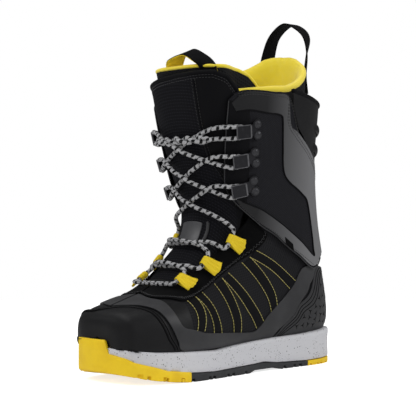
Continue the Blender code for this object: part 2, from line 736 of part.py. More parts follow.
def hook_mesh():
    """A riveted base, a neck and a cap that is open towards the back."""
    def box(bm, centre, size):
        bmesh.ops.create_cube(bm, size=1, matrix=Matrix.Translation(Vector(centre) * MM)
                              @ Matrix.Diagonal((*(Vector(size) * MM), 1)))

    pieces = []
    for centre, size in (((2, 0, .6), (22, 12, 1.2)), ((-5.5, 0, 3.8), (4.4, 3.6, 6.0)),
                         ((-4.4, 0, 7.2), (14.8, 13, 1.4)), ((2.4, 0, 6.3), (1.2, 13, 2.4))):
        bm = bmesh.new()
        box(bm, centre, size)
        pieces.append(mesh_object("cut_hook_part", "dark_metal", bm, cutter=True))
    for side in (-1, 1):
        bm = bmesh.new()
        bmesh.ops.create_cone(bm, cap_ends=True, segments=12, radius1=5 * MM, radius2=5 * MM,
                              depth=1.2 * MM, matrix=Matrix.Translation(
                                  Vector((13, side * 5.2, .6)) * MM))
        pieces.append(mesh_object("cut_hook_tab", "dark_metal", bm, cutter=True))
    base = pieces[0]
    for other in pieces[1:]:
        boolean(base, other, "UNION")
    bpy.context.view_layer.update()
    mesh = bpy.data.meshes.new_from_object(
        base.evaluated_get(bpy.context.evaluated_depsgraph_get()))
    for piece in pieces:
        bpy.data.objects.remove(piece)
    mesh.name = "hook"
    return mesh


def rivet_mesh():
    bm = bmesh.new()
    bmesh.ops.create_cone(bm, cap_ends=True, segments=10, radius1=3.7 * MM, radius2=3.0 * MM,
                          depth=1.3 * MM)
    mesh = bpy.data.meshes.new("rivet")
    bm.to_mesh(mesh)
    bm.free()
    mesh.materials.append(look("dark_metal"))
    return mesh


def webbing_loop_mesh(length=17.0, width=11.0):
    """A webbing strip folded round the lace: a teardrop section, carried along the fold."""
    eye, sheet = LACE_RADIUS + .45, 1.1
    outer = [(length, -EYE_LIFT + 1.2), (length, -EYE_LIFT + 1.2 + 2 * sheet)]
    outer += [((eye + sheet) * math.cos(t), (eye + sheet) * math.sin(t))
              for t in np.radians(np.linspace(70, 250, 7))]
    inner = [(eye * math.cos(t), eye * math.sin(t))
             for t in np.radians(np.linspace(0, 360, 10, endpoint=False))]
    curve = bpy.data.curves.new("webbing_loop", "CURVE")
    curve.dimensions = "2D"
    curve.fill_mode = "BOTH"
    curve.extrude = width / 2 * MM
    for outline in (outer, inner):
        spline = curve.splines.new("POLY")
        spline.points.add(len(outline) - 1)
        for point, (x, y) in zip(spline.points, outline):
            point.co = (x * MM, y * MM, 0, 1)
        spline.use_cyclic_u = True
    holder = bpy.data.objects.new("loop_curve", curve)
    Shop.cutters.objects.link(holder)
    bpy.context.view_layer.update()
    mesh = bpy.data.meshes.new_from_object(
        holder.evaluated_get(bpy.context.evaluated_depsgraph_get()))
    bpy.data.objects.remove(holder)
    bm = bmesh.new()
    bm.from_mesh(mesh)
    bmesh.ops.remove_doubles(bm, verts=bm.verts, dist=0.00002)
    bmesh.ops.recalc_face_normals(bm, faces=bm.faces)
    bm.to_mesh(mesh)
    bm.free()
    mesh.materials.clear()
    mesh.materials.append(look("yellow_webbing"))
    return mesh


def place_mesh(name, mesh, matrix):
    obj = bpy.data.objects.new(name, mesh)
    obj.matrix_world = matrix
    Shop.parts.objects.link(obj)
    return obj


def fittings():
    hook, rivet, loop = hook_mesh(), rivet_mesh(), webbing_loop_mesh()
    for side, sign in (("lateral", 1), ("medial", -1)):
        for k, (v, a) in enumerate(HOOKS, 1):
            base = frame_at(v, sign * a, HOOK_LIFT)
            if sign < 0:
                base = base @ Matrix.Rotation(math.pi, 4, "Z")
            place_mesh(f"hook_{side}_{k}", hook, base)
            for row, where in enumerate((-5.2, 5.2), 1):
                seat = base @ Matrix.Translation(Vector((13, where, 1.2 + .3 + .65)) * MM)
                place_mesh(f"rivet_{side}_{k}_{row}", rivet, seat)
        for k, (v, a) in enumerate(LOOPS, 1):
            base = frame_at(v, sign * a, EYE_LIFT)
            turn = Matrix.Rotation(math.pi / 2, 4, "X")
            if sign < 0:
                base = base @ Matrix.Rotation(math.pi, 4, "Z")
            place_mesh(f"lace_loop_{side}_{k}", loop, base @ turn)


def tube(name, material, points, radius):
    curve = bpy.data.curves.new(name, "CURVE")
    curve.dimensions = "3D"
    curve.bevel_depth = radius * MM
    curve.bevel_resolution = 2
    curve.use_fill_caps = True
    spline = curve.splines.new("POLY")
    spline.points.add(len(points) - 1)
    for point, place in zip(spline.points, points):
        point.co = (*(Vector(place) * MM), 1)
    curve.materials.append(look(material))
    obj = bpy.data.objects.new(name, curve)
    Shop.parts.objects.link(obj)
    return obj


# The lace, read from one end to the other. Beside a fitting its points are (inwards, up, out)
# from the fitting's own centre; between fittings they are (v, a, rise) over the boot surface.
ROUND_HOOK = [(12.5, 5.6, .4), (5, 4.6, 0), (1, 3.2, 0), (.1, 0, 0), (1, -3.2, 0),
              (5, -4.6, 0), (12.5, -5.6, .4)]
THROUGH_LOOP = [(3.5, 11.5, .3), (0, 6.2, 0), (0, -6.2, 0), (3.5, -11.5, .3)]
OVER = 7.2              # lace centre over another strand
UNDER = 2.6             # lace centre on the tongue
TWIST_V, TWIST_A, TWIST_DROP = 11.2, 36, 8     # the twisted pair runs at this height, between these angles
TWIST_RADIUS = 2.4
TWIST_RISE = 5.6
TWIST_TURNS = 2.5
TWIST_STEPS = 11
HOOK_REACH = (5.2, 16)  # where the lace leaves a hook: up or down, and inwards
LOOP_REACH = (.5, 8)


def beside(v, a, side, rise, local):
    """Points given from a fitting at (v, a): inwards, up the boot, outwards."""
    place = frame_at(v, side * a, rise)
    points = []
    for inwards, up, out in local:
        points.append(np.array(place @ (Vector((-side * inwards, up, out)) * MM)) / MM)
    return points


def round_hook(side, k):
    """From above the hook, round behind its neck, to below it."""
    v, a = HOOKS[k - 1]
    return beside(v, a, side, HOOK_LIFT + HOOK_SEAT, ROUND_HOOK)


def through_loop(side, k):
    v, a = LOOPS[k - 1]
    return beside(v, a, side, EYE_LIFT, THROUGH_LOOP)


def ridge(low, high):
    """The direction up the front of the boot between two stations."""
    along = surface(high + .4, 0.0) - surface(low - .4, 0.0)
    along = along / np.linalg.norm(along) + (0, 0, 2.5)
    return along / np.linalg.norm(along)


def place_at_level(level, a, up, near):
    """The station near which the surface, at angle a, reaches a level along up."""
    vs = np.linspace(near - 1.6, near + 1.6, 65)
    return float(np.interp(level, surface(vs, np.full(65, float(a))) @ up, vs))


def across(start, end, over):
    """Points on the way over the tongue, between the (v, a) of two fittings' own ends."""
    (v0, a0), (v1, a1) = start, end
    up = ridge(min(v0, v1), max(v0, v1))
    level0, level1 = surface(v0, a0) @ up, surface(v1, a1) @ up
    middle = OVER if over else UNDER
    points = []
    for t, rise in ((.08, UNDER + 1.4), (.35, middle), (.5, middle), (.65, middle),
                    (.92, UNDER + 1.4)):
        a = a0 + (a1 - a0) * t
        v = place_at_level(level0 + (level1 - level0) * t, a, up, v0 + (v1 - v0) * t)
        points.append(at(v, a, rise))
    return points


def hook_end(side, k, up):
    v, a = HOOKS[k - 1]
    up_axis = np.array((0, 0, 1.0))
    level = surface(v, a) @ up_axis + up * HOOK_REACH[0]
    return place_at_level(level, a - HOOK_REACH[1], up_axis, v), side * (a - HOOK_REACH[1])


def loop_end(side, k, up):
    v, a = LOOPS[k - 1]
    return v + up * LOOP_REACH[0], side * (a - LOOP_REACH[1])


def twisted(start_side, phase):
    """One strand of the twisted pair, level across the shaft at the top hooks."""
    points = []
    up = np.array((0, 0, 1.0))
    level = surface(*HOOKS[2]) @ up - TWIST_DROP
    for k in range(TWIST_STEPS):
        t = k / (TWIST_STEPS - 1)
        a = start_side * TWIST_A * (1 - 2 * t)
        v = place_at_level(level, a, up, TWIST_V)
        turn = 2 * math.pi * TWIST_TURNS * (t if start_side > 0 else 1 - t) + phase
        rise = surface(v + .03, a) - surface(v - .03, a)
        rise /= np.linalg.norm(rise)
        points.append(at(v, a, TWIST_RISE) + TWIST_RADIUS * (
            normal(v, a) * math.cos(turn) + rise * math.sin(turn)))
    return points


def lace_route():
    """From the end tucked in at the top lateral hook to the end at the top medial hook."""
    route = twisted(1, 0)
    route += round_hook(-1, 3)[::-1]
    route += across(hook_end(-1, 3, 1), hook_end(1, 2, -1), True)
    route += round_hook(1, 2)[::-1]
    route += across(hook_end(1, 2, 1), hook_end(-1, 1, -1), False)
    route += round_hook(-1, 1)[::-1]
    route += across(hook_end(-1, 1, 1), loop_end(1, 3, 1), True)
    route += through_loop(1, 3)
    route += across(loop_end(1, 3, -1), loop_end(-1, 2, 1), False)
    route += through_loop(-1, 2)
    route += across(loop_end(-1, 2, -1), loop_end(1, 1, 1), True)
    route += through_loop(1, 1)
    route += through_loop(-1, 1)[::-1]
    route += across(loop_end(-1, 1, 1), loop_end(1, 2, -1), False)
    route += through_loop(1, 2)[::-1]
    route += across(loop_end(1, 2, 1), loop_end(-1, 3, -1), True)
    route += through_loop(-1, 3)[::-1]
    route += across(loop_end(-1, 3, 1), hook_end(1, 1, 1), False)
    route += round_hook(1, 1)
    route += across(hook_end(1, 1, -1), hook_end(-1, 2, 1), True)
    route += round_hook(-1, 2)
    route += across(hook_end(-1, 2, -1), hook_end(1, 3, 1), False)
    route += round_hook(1, 3)
    route += twisted(1, math.pi)
    return route


def lace():
    route = np.array(lace_route())
    gaps = np.linalg.norm(route[1:] - route[:-1], axis=1)
    stations = []
    for k, gap in enumerate(gaps):
        stations += [k, k + .5] if gap > LACE_SPAN else [k]
    return tube("lace", "lace_cord", smooth(route, stations + [len(route) - 1]), LACE_RADIUS)


def ribbon(name, material, path, width_dirs, width, thickness, count=17):
    """A webbing band along a smooth path; its width turns from one direction to another."""
    s = np.linspace(0, len(path) - 1, count)
    centre = smooth(path, s)
    across = smooth(width_dirs, s * (len(width_dirs) - 1) / (len(path) - 1))
    across /= np.linalg.norm(across, axis=1, keepdims=True)
    bm = bmesh.new()
    rows = []
    for c, w in zip(centre, across):
        rows.append([bm.verts.new(Vector(c + w * width * t) * MM) for t in (-.5, 0, .5)])
    for one, two in zip(rows, rows[1:]):
        for k in range(2):
            bm.faces.new((one[k], one[k + 1], two[k + 1], two[k]))
    obj = mesh_object(name, material, bm)
    wall = obj.modifiers.new("wall", "SOLIDIFY")
    wall.thickness = thickness * MM
    wall.offset = 0
    return finish_mesh(obj)


def rear_pull_loop():
    """A webbing handle sewn at the back of the liner, standing up over the collar."""
    path = [(-36, 117, 309), (-36, 120, 325), (-31, 124, 345), (-14, 126, 357), (3, 126, 351),
            (12, 127, 340), (13, 126, 322), (11.5, 125, 300), (12, 125, 281)]
    across = [(.35, .94, 0), (.2, .98, 0), (0, 1, 0), (0, 1, 0), (0, 1, 0), (-.3, .95, 0),
              (-.68, .72, 0), (-.75, .65, 0), (-.85, .5, 0)]
    return ribbon("rear_pull_loop", "black_webbing", path, across, 17, 1.6)


def tongue_pull_loop():
    """A webbing handle sewn inside the top of the tongue."""
    path = [(-5, -46.5, 291), (-5.5, -47.5, 300), (2, -49, 306), (15, -49, 309.5),
            (27, -47.5, 304), (34.5, -44, 297), (35.5, -41.5, 290)]
    across = [(-1, -.1, 0), (-.75, -.65, 0), (-.1, -.95, -.2), (0, -.92, -.4), (-.2, -.9, -.35),
              (-.7, -.7, -.1), (-.85, -.53, 0)]
    return ribbon("tongue_pull_loop", "black_webbing", path, across, 17, 1.6)


def collar_clip():
    """A small metal clip on the liner's collar."""
    place = frame_at(13.0, 128, LINER_SHAFT[1] - 4.0 + .3)
    bm = bmesh.new()
    bmesh.ops.create_cube(bm, size=1, matrix=Matrix.Translation(Vector((0, 0, .8)) * MM)
                          @ Matrix.Diagonal((*(Vector((9, 4, 1.6)) * MM), 1)))
    obj = mesh_object("collar_clip", "steel", bm)
    obj.matrix_world = place
    edges = obj.modifiers.new("edges", "BEVEL")
    edges.width = .4 * MM
    edges.segments = 2
    return obj


def build():
    clear_scene()
    Shop.parts = new_collection("snowboard_boot")
    Shop.cutters = new_collection("cutters", hidden=True)
    midsole()
    outsole_toe()
    outsole_middle()
    outsole_heel()
    plate_between("shank", "steel", shank_outline(), *SHANK)
    plate_between("lasting_board", "board", plan_outline(11, 30), *BOARD)
    toe_cap()
    vamp()
    quarter = quarter_grid()
    lay("quarter_lateral", "grey_fabric", [quarter], UPPER)
    lay("quarter_medial", "grey_fabric", [mirrored(quarter)], UPPER)
    rand = rand_grid()
    lay("rand_lateral", "grey_film", [rand], TRIM)
    lay("rand_medial", "grey_film", [mirrored(rand)], TRIM)
    stay = eyestay_grid()
    lay("eyestay_lateral", "suede", [stay], TRIM)
    lay("eyestay_medial", "suede", [mirrored(stay)], TRIM)
    heel_counter()
    lay("tongue_instep", "ripstop", [tongue_grid(INSTEP_HALF, 4.35, 7.3, 6, 9)], TONGUE_INSTEP)
    lay("tongue_shin", "ripstop", [tongue_grid(TONGUE_HALF, 7.75, 13.1, 10, 13)], TONGUE,
        tongue_rise)
    liner_foot()
    liner_cuff()
    liner_tongue()
    plate_between("footbed", "board", plan_outline(17, 30), *FOOTBED)
    flex_plate()
    cuff = cuff_grid()
    lay("cuff_lateral", "ripstop", [cuff], CUFF_LOW, cuff_rise)
    lay("cuff_medial", "ripstop", [mirrored(cuff)], CUFF_LOW, cuff_rise)
    overlay = overlay_grid()
    thin = (0, OVERLAY_THICK)
    lay("cuff_overlay_lateral", "grey_film", [overlay], thin, overlay_rise)
    lay("cuff_overlay_medial", "grey_film", [mirrored(overlay)], thin, overlay_rise)
    backstay()
    backstay_rib("backstay_rib_upper", 12.52)
    backstay_rib("backstay_rib_lower", 12.16)
    fittings()
    lace()
    rear_pull_loop()
    tongue_pull_loop()
    collar_clip()


build()
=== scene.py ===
"""Looks of the snowboard boot: fine panels, sole, liner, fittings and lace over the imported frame.

Lengths are millimetres times MM. A place (v, a) is on the boot surface: v counts the stations
from the toe to the collar, and a is the angle round the station, 0 along the front, 90 at the
lateral side, 180 at the back. "rise" is the distance outwards from that surface.
"""
import math

import bmesh
import bpy
import numpy as np
from mathutils import Matrix, Vector


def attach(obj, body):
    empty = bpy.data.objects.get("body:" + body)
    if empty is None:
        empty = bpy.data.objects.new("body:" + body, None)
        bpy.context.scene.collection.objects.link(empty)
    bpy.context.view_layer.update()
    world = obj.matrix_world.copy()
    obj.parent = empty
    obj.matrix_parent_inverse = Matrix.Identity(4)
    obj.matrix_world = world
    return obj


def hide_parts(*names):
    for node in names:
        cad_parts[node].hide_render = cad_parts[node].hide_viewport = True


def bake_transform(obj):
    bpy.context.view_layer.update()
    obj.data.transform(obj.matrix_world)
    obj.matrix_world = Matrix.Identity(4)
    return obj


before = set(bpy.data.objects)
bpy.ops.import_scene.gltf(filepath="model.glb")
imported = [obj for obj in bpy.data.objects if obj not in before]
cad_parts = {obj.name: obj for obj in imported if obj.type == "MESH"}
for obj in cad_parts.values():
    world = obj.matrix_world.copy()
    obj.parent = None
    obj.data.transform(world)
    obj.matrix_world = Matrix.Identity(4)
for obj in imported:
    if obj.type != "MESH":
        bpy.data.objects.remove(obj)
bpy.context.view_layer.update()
MM = 0.001

# ---------------------------------------------------------------- dimensions

SOLE_TOP = [(-150, 33), (-120, 29), (-95, 28), (-47, 26), (-20, 28.5), (10, 30.3),
            (47, 31.7), (82, 32.5), (110, 34), (150, 37.5)]
MIDSOLE_BOTTOM = [(-150, 18), (-125, 13), (-100, 9.5), (-50, 7), (10, 8.5), (25, 9.5),
                  (45, 7), (90, 5.5), (150, 6.5)]
TOE_GROUND = [(-160, 11.5), (-148, 9.8), (-140, 7.8), (-130, 5.4), (-118, 3.4), (-100, 1.2),
              (-84, 0)]
OUTSOLE_TOE_END = -84.0
OUTSOLE_HEEL_START = 92.0

# (front y, z), (back y, z), half widths, centre x, share of depth, roundness front and back
STATIONS = np.array([
    (-146, 42, -146, 42, 0, 0, -7, .50, 2.0, 2.0),
    (-145.5, 58, -145.5, 25, 29, 26, -6, .46, 3.2, 2.8),
    (-137, 67.5, -137, 21, 43, 38.5, -5, .40, 3.4, 3.2),
    (-116, 75, -117, 20, 52, 46.5, -3, .36, 3.0, 3.6),
    (-90, 84, -88, 20, 56, 50, -1, .34, 2.4, 3.8),
    (-66, 99, -48, 21, 54, 50, 0, .32, 2.3, 4.2),
    (-48, 118, -6, 23, 50, 47, 0, .33, 2.3, 4.6),
    (-34, 140, 44, 26, 47, 45, 0, .35, 2.4, 5.0),
    (-29, 164, 104, 28, 47, 46, 0, .40, 2.5, 4.8),
    (-34, 188, 141, 38, 48.5, 48, 0, .46, 2.7, 3.3),
    (-41, 212, 138.5, 95, 51.5, 52, 0, .50, 2.8, 2.5),
    (-47, 237, 128.5, 150, 56, 57, 0, .52, 2.8, 2.3),
    (-53, 262, 123, 205, 60, 61, 0, .52, 2.8, 2.3),
    (-60, 292, 127.5, 262, 63.5, 64, 0, .52, 2.8, 2.3),
    (-66, 316, 130, 318, 64.5, 65, 0, .52, 2.8, 2.3),
], float)

SOLE_PLAN = [(-145, 17, -29), (-139, 35, -39.5), (-121, 48.5, -47.5), (-93, 55, -50.5),
             (-62, 55.5, -50.5), (-22, 51.5, -47), (20, 47.5, -45), (60, 46, -44.5),
             (98, 45.5, -45), (122, 42, -42), (139, 31, -31)]
SOLE_TOE = (-7, -147.5)
SOLE_HEEL = (0, 148.0)

# Edges of the panels, as (v, a) points unless a line says otherwise
TOE_CAP_EDGE = [(-180, 3.6), (-124, 3.5), (-83, 2.9), (-58, 2.4), (-34, 1.98), (-21, 1.9),
                (0, 2.15), (34, 2.74), (48, 3.02), (58, 3.15), (71, 3.30), (83, 3.43),
                (106, 3.66), (124, 3.81), (180, 3.9)]                  # (a, v)
QUARTER_TOP = [(4.45, 41), (5.2, 44), (6.1, 47), (7.1, 52), (8.0, 57), (8.7, 62), (9.1, 66),
               (9.4, 72), (9.6, 82), (9.68, 100), (9.72, 118), (9.9, 140), (10.05, 162)]
RAND_UPPER = [(3.62, 2), (3.45, 22), (3.62, 36), (3.68, 52), (3.79, 68), (3.96, 78),
              (4.40, 85), (5.26, 101), (6.33, 118), (6.71, 116), (7.22, 105), (7.86, 98),
              (8.70, 98), (9.16, 102), (9.50, 112)]
RAND_LOWER = [(2.40, 2), (2.58, 18), (2.90, 35), (3.16, 48), (3.40, 68), (3.66, 92),
              (3.92, 121), (5.3, 128), (6.3, 133), (6.9, 135), (7.28, 124), (8.25, 110.5),
              (8.95, 110.5), (9.2, 113), (9.62, 121.5)]
EYESTAY_INNER = [(4.22, 1), (4.27, 14), (4.5, 23), (5.1, 30), (6.1, 37), (7.1, 44), (8.0, 50),
                 (8.9, 57)]
EYESTAY_OUTER = [(3.72, 1), (3.55, 22), (3.97, 37), (4.40, 49), (5.16, 52), (6.2, 55),
                 (7.2, 59.5), (9.0, 71)]
COUNTER_EDGE = [(6.9, 140), (7.32, 124), (7.8, 116), (8.27, 111), (9.18, 114),
                (9.67, 123), (9.9, 141), (10.1, 165)]
CUFF_EDGE = [(9.3, 41), (8.92, 50), (8.98, 64), (9.18, 75), (9.24, 84), (9.36, 98), (9.46, 113),
             (9.95, 130), (10.25, 150), (10.32, 180)]
CUFF_TOP = [(12.26, 49), (12.56, 56), (12.72, 66), (12.84, 82), (12.88, 96), (12.29, 106),
            (12.03, 120), (11.75, 150), (11.65, 180)]
CUFF_SEAM = [(8.6, 53), (9.34, 55), (10.37, 60), (11.3, 62), (12.36, 63)]
OVERLAY_OUTER = [(12.20, 51), (12.51, 58), (12.68, 68), (12.80, 84), (12.84, 95), (12.29, 99),
                 (12.2, 107), (12.0, 125), (11.78, 150), (11.68, 174), (11.2, 174),
                 (10.7, 174), (10.36, 150), (9.99, 130), (9.50, 113), (9.40, 98), (9.28, 84),
                 (9.22, 75), (9.03, 63), (8.98, 53), (9.1, 47)]
OVERLAY_INNER = [(12.0, 54), (12.19, 64), (12.3, 78), (12.38, 88), (12.30, 91.5), (11.7, 92),
                 (11.12, 92), (10.94, 96), (10.92, 106), (10.91, 111), (10.87, 116),
                 (10.6, 118), (10.2, 118), (9.9, 117), (9.74, 116), (9.74, 102), (9.69, 87),
                 (9.62, 77), (9.52, 67), (9.36, 59), (9.2, 52)]
BACKSTAY_EDGE = [(11.7, 151), (12.05, 120.5), (12.31, 107), (12.7, 100.5), (13.03, 100)]
TONGUE_TOP = [(-62, 12.1), (-56, 12.45), (-50, 12.66), (-41, 12.72), (-29, 12.72), (17, 12.87),
              (41, 13.0), (50, 12.92), (56, 12.64), (62, 12.2)]        # (a, v)
TONGUE_HALF = [(4.3, 22), (5.0, 33), (6.0, 42), (7.0, 49), (7.75, 50), (8.6, 52), (9.2, 56),
               (9.6, 60), (13.2, 62)]
TONGUE_SEAM = [(8.9, 46), (9.51, 41), (10.0, 32), (10.86, 27), (11.63, 25), (12.67, 24)]
COLLAR_HEIGHT = [(-180, 317.6), (-170, 318), (-160, 319.5), (-145, 316.5), (-130, 306.5),
                 (-115, 298), (-100, 291), (-80, 286), (-58, 284), (58, 272), (80, 276),
                 (90, 278), (105, 280), (120, 287.5), (130, 294), (140, 301.5), (150, 306.5),
                 (160, 310.5), (170, 315), (180, 317.6)]                # (a, z)
LINER_TONGUE_HEIGHT = [(-58, 280), (-52, 291), (-45, 296), (-35, 296), (35, 296), (50, 295.5),
                       (65, 293), (74, 289), (80, 282), (84, 274)]      # (a, z)
# Dark bands on the quarter, each between two stitched lines: top (v, a), bottom (v, a)
STRIPES = [((4.44, 50), (4.42, 86), (4.81, 52), (4.71, 87)),
           ((4.81, 52), (5.05, 94), (5.13, 52), (5.35, 102)),
           ((5.81, 56), (5.81, 112), (6.23, 58), (6.06, 116)),
           ((6.23, 58), (6.62, 115), (6.57, 59), (6.92, 110)),
           ((7.26, 62), (7.26, 105), (7.65, 64), (7.53, 100)),
           ((7.65, 64), (8.22, 96), (8.00, 64), (8.66, 97))]

HOOKS = [(9.62, 53), (10.58, 56), (11.52, 59)]          # seat of each hook, from below
LOOPS = [(4.80, 27), (6.0, 36.5), (7.41, 46)]           # eye of each webbing loop
HOOK_LIFT = 2.95        # under a hook's base plate
HOOK_SEAT = 3.65        # from there to the lace's centre line
EYE_LIFT = 3.6          # centre of a webbing loop's eye
LACE_RADIUS = 2.1

# Rise of each layer's outer face
UPPER_RISE = -1.7
TRIM_RISE = -.1
CUFF_RISE_LOW, CUFF_RISE_HIGH = 2.6, 1.4
OVERLAY_STEP = .7


# ---------------------------------------------------------------- the boot surface

def smooth(table, v):
    """A smooth curve through the rows of table, read at the row numbers v."""
    table = np.asarray(table, float)
    last = len(table) - 1
    v = np.clip(np.asarray(v, float), 0, last)
    i = np.minimum(v.astype(int), last - 1)
    t = (v - i)[..., None]
    before, start = table[np.maximum(i - 1, 0)], table[i]
    end, after = table[i + 1], table[np.minimum(i + 2, last)]
    slope_in = np.where((i == 0)[..., None], end - start, (end - before) / 2)
    slope_out = np.where((i == last - 1)[..., None], end - start, (after - start) / 2)
    return ((2 * t**3 - 3 * t**2 + 1) * start + (t**3 - 2 * t**2 + t) * slope_in
            + (3 * t**2 - 2 * t**3) * end + (t**3 - t**2) * slope_out)


def surface(v, a):
    """Points of the boot surface, in millimetres."""
    v, a = np.broadcast_arrays(np.asarray(v, float), (np.asarray(a, float) + 180) % 360 - 180)
    station = smooth(STATIONS, v)
    front_y, front_z, back_y, back_z, lateral, medial, centre, share, n_front, n_back = (
        station[..., k] for k in range(10))
    c, s = np.cos(np.radians(a)), np.abs(np.sin(np.radians(a)))
    n = np.where(c > 0, n_front, n_back)
    radius = (np.abs(c)**n + s**n)**(-1 / n)
    along = np.where(c > 0, share + (1 - share) * c * radius, share * (1 + c * radius))
    x = centre + np.sign(a) * np.where(a >= 0, lateral, medial) * s * radius
    return np.stack([x, back_y + (front_y - back_y) * along,
                     back_z + (front_z - back_z) * along], -1)


def normal(v, a):
    """Outward unit normals of the boot surface."""
    v, a = np.broadcast_arrays(np.asarray(v, float), np.asarray(a, float))
    low, high = np.clip(v - .04, .02, 13.96), np.clip(v + .04, .06, 14)
    up = surface(high, a) - surface(low, a)
    round_ = surface(v, a + 1.5) - surface(v, a - 1.5)
    n = np.cross(round_, up)
    return n / np.maximum(np.linalg.norm(n, axis=-1, keepdims=True), 1e-9)


def at(v, a, rise):
    return surface(v, a) + normal(v, a) * np.asarray(rise, float)[..., None]


def raised(path, rise):
    """The (v, a) points of path, all at one rise."""
    return at(path[:, 0], path[:, 1], np.full(len(path), rise))


def interp(table, x):
    xs, ys = zip(*table)
    return np.interp(x, xs, ys)


def toe_wall_top(x, y, spread=0.0):
    side = np.interp(y, [-147, -138, -110, -84], [27, 20, 11.5, 8.5])
    front = (39.0 * (1 - np.clip((x - 6 - spread) / 15, 0, 1))
             * (1 - np.clip((-40 - spread - x) / 7, 0, 1)))
    return np.maximum(side, np.where(y < -120 + spread, front, 0))


def sole_angle(v, side=1):
    """The angle where the upper meets the sole, going from the front to the back."""
    angles = np.linspace(0, 180, 721) * side
    p = surface(v, angles)
    floor = np.maximum(interp(SOLE_TOP, p[:, 1]), toe_wall_top(p[:, 0], p[:, 1], 3)) - .6
    kept = (p[:, 2] > floor) | (p[:, 2] > 60)
    if kept.all():
        return 180.0 * side
    if not kept[0]:
        return 0.0
    return float(angles[int(np.argmin(kept)) - 1])


def band(upper, lower, across, along):
    """A grid between two edges, each given by a few (v, a) points."""
    s = np.linspace(0, 1, along)
    u = smooth(upper, s * (len(upper) - 1))
    w = smooth(lower, s * (len(lower) - 1))
    t = np.linspace(0, 1, across)[:, None, None]
    return u * (1 - t) + w * t


def rows_grid(vs, first, last, count):
    t = np.linspace(0, 1, count)
    return np.array([[(v, first(v) + (last(v) - first(v)) * k) for k in t] for v in vs])


def mirrored(grid):
    return np.array(grid) * (1, -1)


def fade(x, low, high):
    t = np.clip((np.asarray(x, float) - low) / (high - low), 0, 1)
    return t * t * (3 - 2 * t)


def cuff_rise(v, _=0):
    """Rise of the cuff's cloth, for any angle."""
    share = fade(v, 9.4, 10.8)
    return CUFF_RISE_LOW * (1 - share) + CUFF_RISE_HIGH * share


def over_cuff(height):
    return lambda v, _: cuff_rise(v) + height


COUNTER_CURVE = smooth(COUNTER_EDGE, np.linspace(0, len(COUNTER_EDGE) - 1, 80)).tolist()


# ---------------------------------------------------------------- materials

def srgb(r, g, b):
    return tuple(((c / 255 + .055) / 1.055)**2.4 if c > 10 else c / 255 / 12.92
                 for c in (r, g, b))


class Paint:
    """A Principled material and the nodes that feed it."""

    def __init__(self, name, colour, roughness, metallic=0.0, specular=.5, sheen=0.0, coat=0.0):
        self.material = bpy.data.materials.new(name)
        self.material.use_nodes = True
        self.tree = self.material.node_tree
        self.shader = self.tree.nodes["Principled BSDF"]
        self.colour = (*colour, 1)
        self.shader.inputs["Base Color"].default_value = self.colour
        self.shader.inputs["Roughness"].default_value = roughness
        self.shader.inputs["Metallic"].default_value = metallic
        self.shader.inputs["Specular IOR Level"].default_value = specular
        self.shader.inputs["Sheen Weight"].default_value = sheen
        self.shader.inputs["Sheen Roughness"].default_value = .6
        self.shader.inputs["Coat Weight"].default_value = coat
        self.bump = None
        place = self.tree.nodes.new("ShaderNodeTexCoord")
        self.map, self.object = place.outputs["UV"], place.outputs["Object"]

    def node(self, kind, inputs=(), **settings):
        node = self.tree.nodes.new(kind)
        for key, value in settings.items():
            setattr(node, key, value)
        for key, value in dict(inputs).items():
            if isinstance(value, bpy.types.NodeSocket):
                self.tree.links.new(value, node.inputs[key])
            else:
                node.inputs[key].default_value = value
        return node

    def math(self, operation, *values):
        return self.node("ShaderNodeMath", enumerate(values), operation=operation).outputs[0]

    def noise(self, size, detail=3.0, source=None):
        """Noise with features of about size millimetres."""
        return self.node("ShaderNodeTexNoise", {
            "Vector": source or self.object, "Scale": 1 / (size * MM),
            "Detail": detail}).outputs["Fac"]

    def cells(self, size, feature="F1", source=None):
        return self.node("ShaderNodeTexVoronoi", {
            "Vector": source or self.object, "Scale": 1 / (size * MM)}, feature=feature)

    def waves(self, *directions):
        """Cosines over the UV map, one for each (u, v) count of waves in a millimetre."""
        split = self.node("ShaderNodeSeparateXYZ", {"Vector": self.map})
        made = []
        for u, v in directions:
            turn = 2 * math.pi / MM
            phase = self.math("ADD", self.math("MULTIPLY", split.outputs[0], u * turn),
                              self.math("MULTIPLY", split.outputs[1], v * turn))
            made.append(self.math("COSINE", phase))
        return made

    def raise_by(self, height, distance, strength=1.0):
        """Bump: height 1 stands distance millimetres proud."""
        inputs = {"Height": height, "Distance": distance * MM, "Strength": strength}
        if self.bump:
            inputs["Normal"] = self.bump
        self.bump = self.node("ShaderNodeBump", inputs).outputs[0]
        self.tree.links.new(self.bump, self.shader.inputs["Normal"])
        return self

    def tint(self, share, colour):
        """Base colour goes over to colour where share is 1."""
        mix = self.node("ShaderNodeMix", {"B": (*colour, 1)}, data_type="RGBA")
        self.tree.links.new(share, mix.inputs["Factor"])
        base = self.shader.inputs["Base Color"]
        colour_in = mix.inputs[6]
        mix.inputs[7].default_value = (*colour, 1)
        if base.links:
            self.tree.links.new(base.links[0].from_socket, colour_in)
        else:
            colour_in.default_value = self.colour
        self.tree.links.new(mix.outputs[2], base)
        return self

    def step(self, value, low, high):
        """0 below low, 1 above high."""
        return self.node("ShaderNodeMapRange", {
            "Value": value, "From Min": low, "From Max": high}).outputs[0]

    def roughen(self, share, low, high):
        out = self.node("ShaderNodeMapRange", {"Value": share, "To Min": low, "To Max": high})
        self.tree.links.new(out.outputs[0], self.shader.inputs["Roughness"])
        return self


def smooth_leather():
    p = Paint("smooth_leather", srgb(15, 15, 17), .5, specular=.2)
    grain = p.cells(.9, "DISTANCE_TO_EDGE").outputs["Distance"]
    p.raise_by(p.step(grain, 0, .12), .05, .5)
    p.raise_by(p.noise(14), .5, .25)
    p.roughen(p.noise(9), .42, .56)
    return p.tint(p.step(p.noise(30), .45, .75), srgb(20, 20, 22))


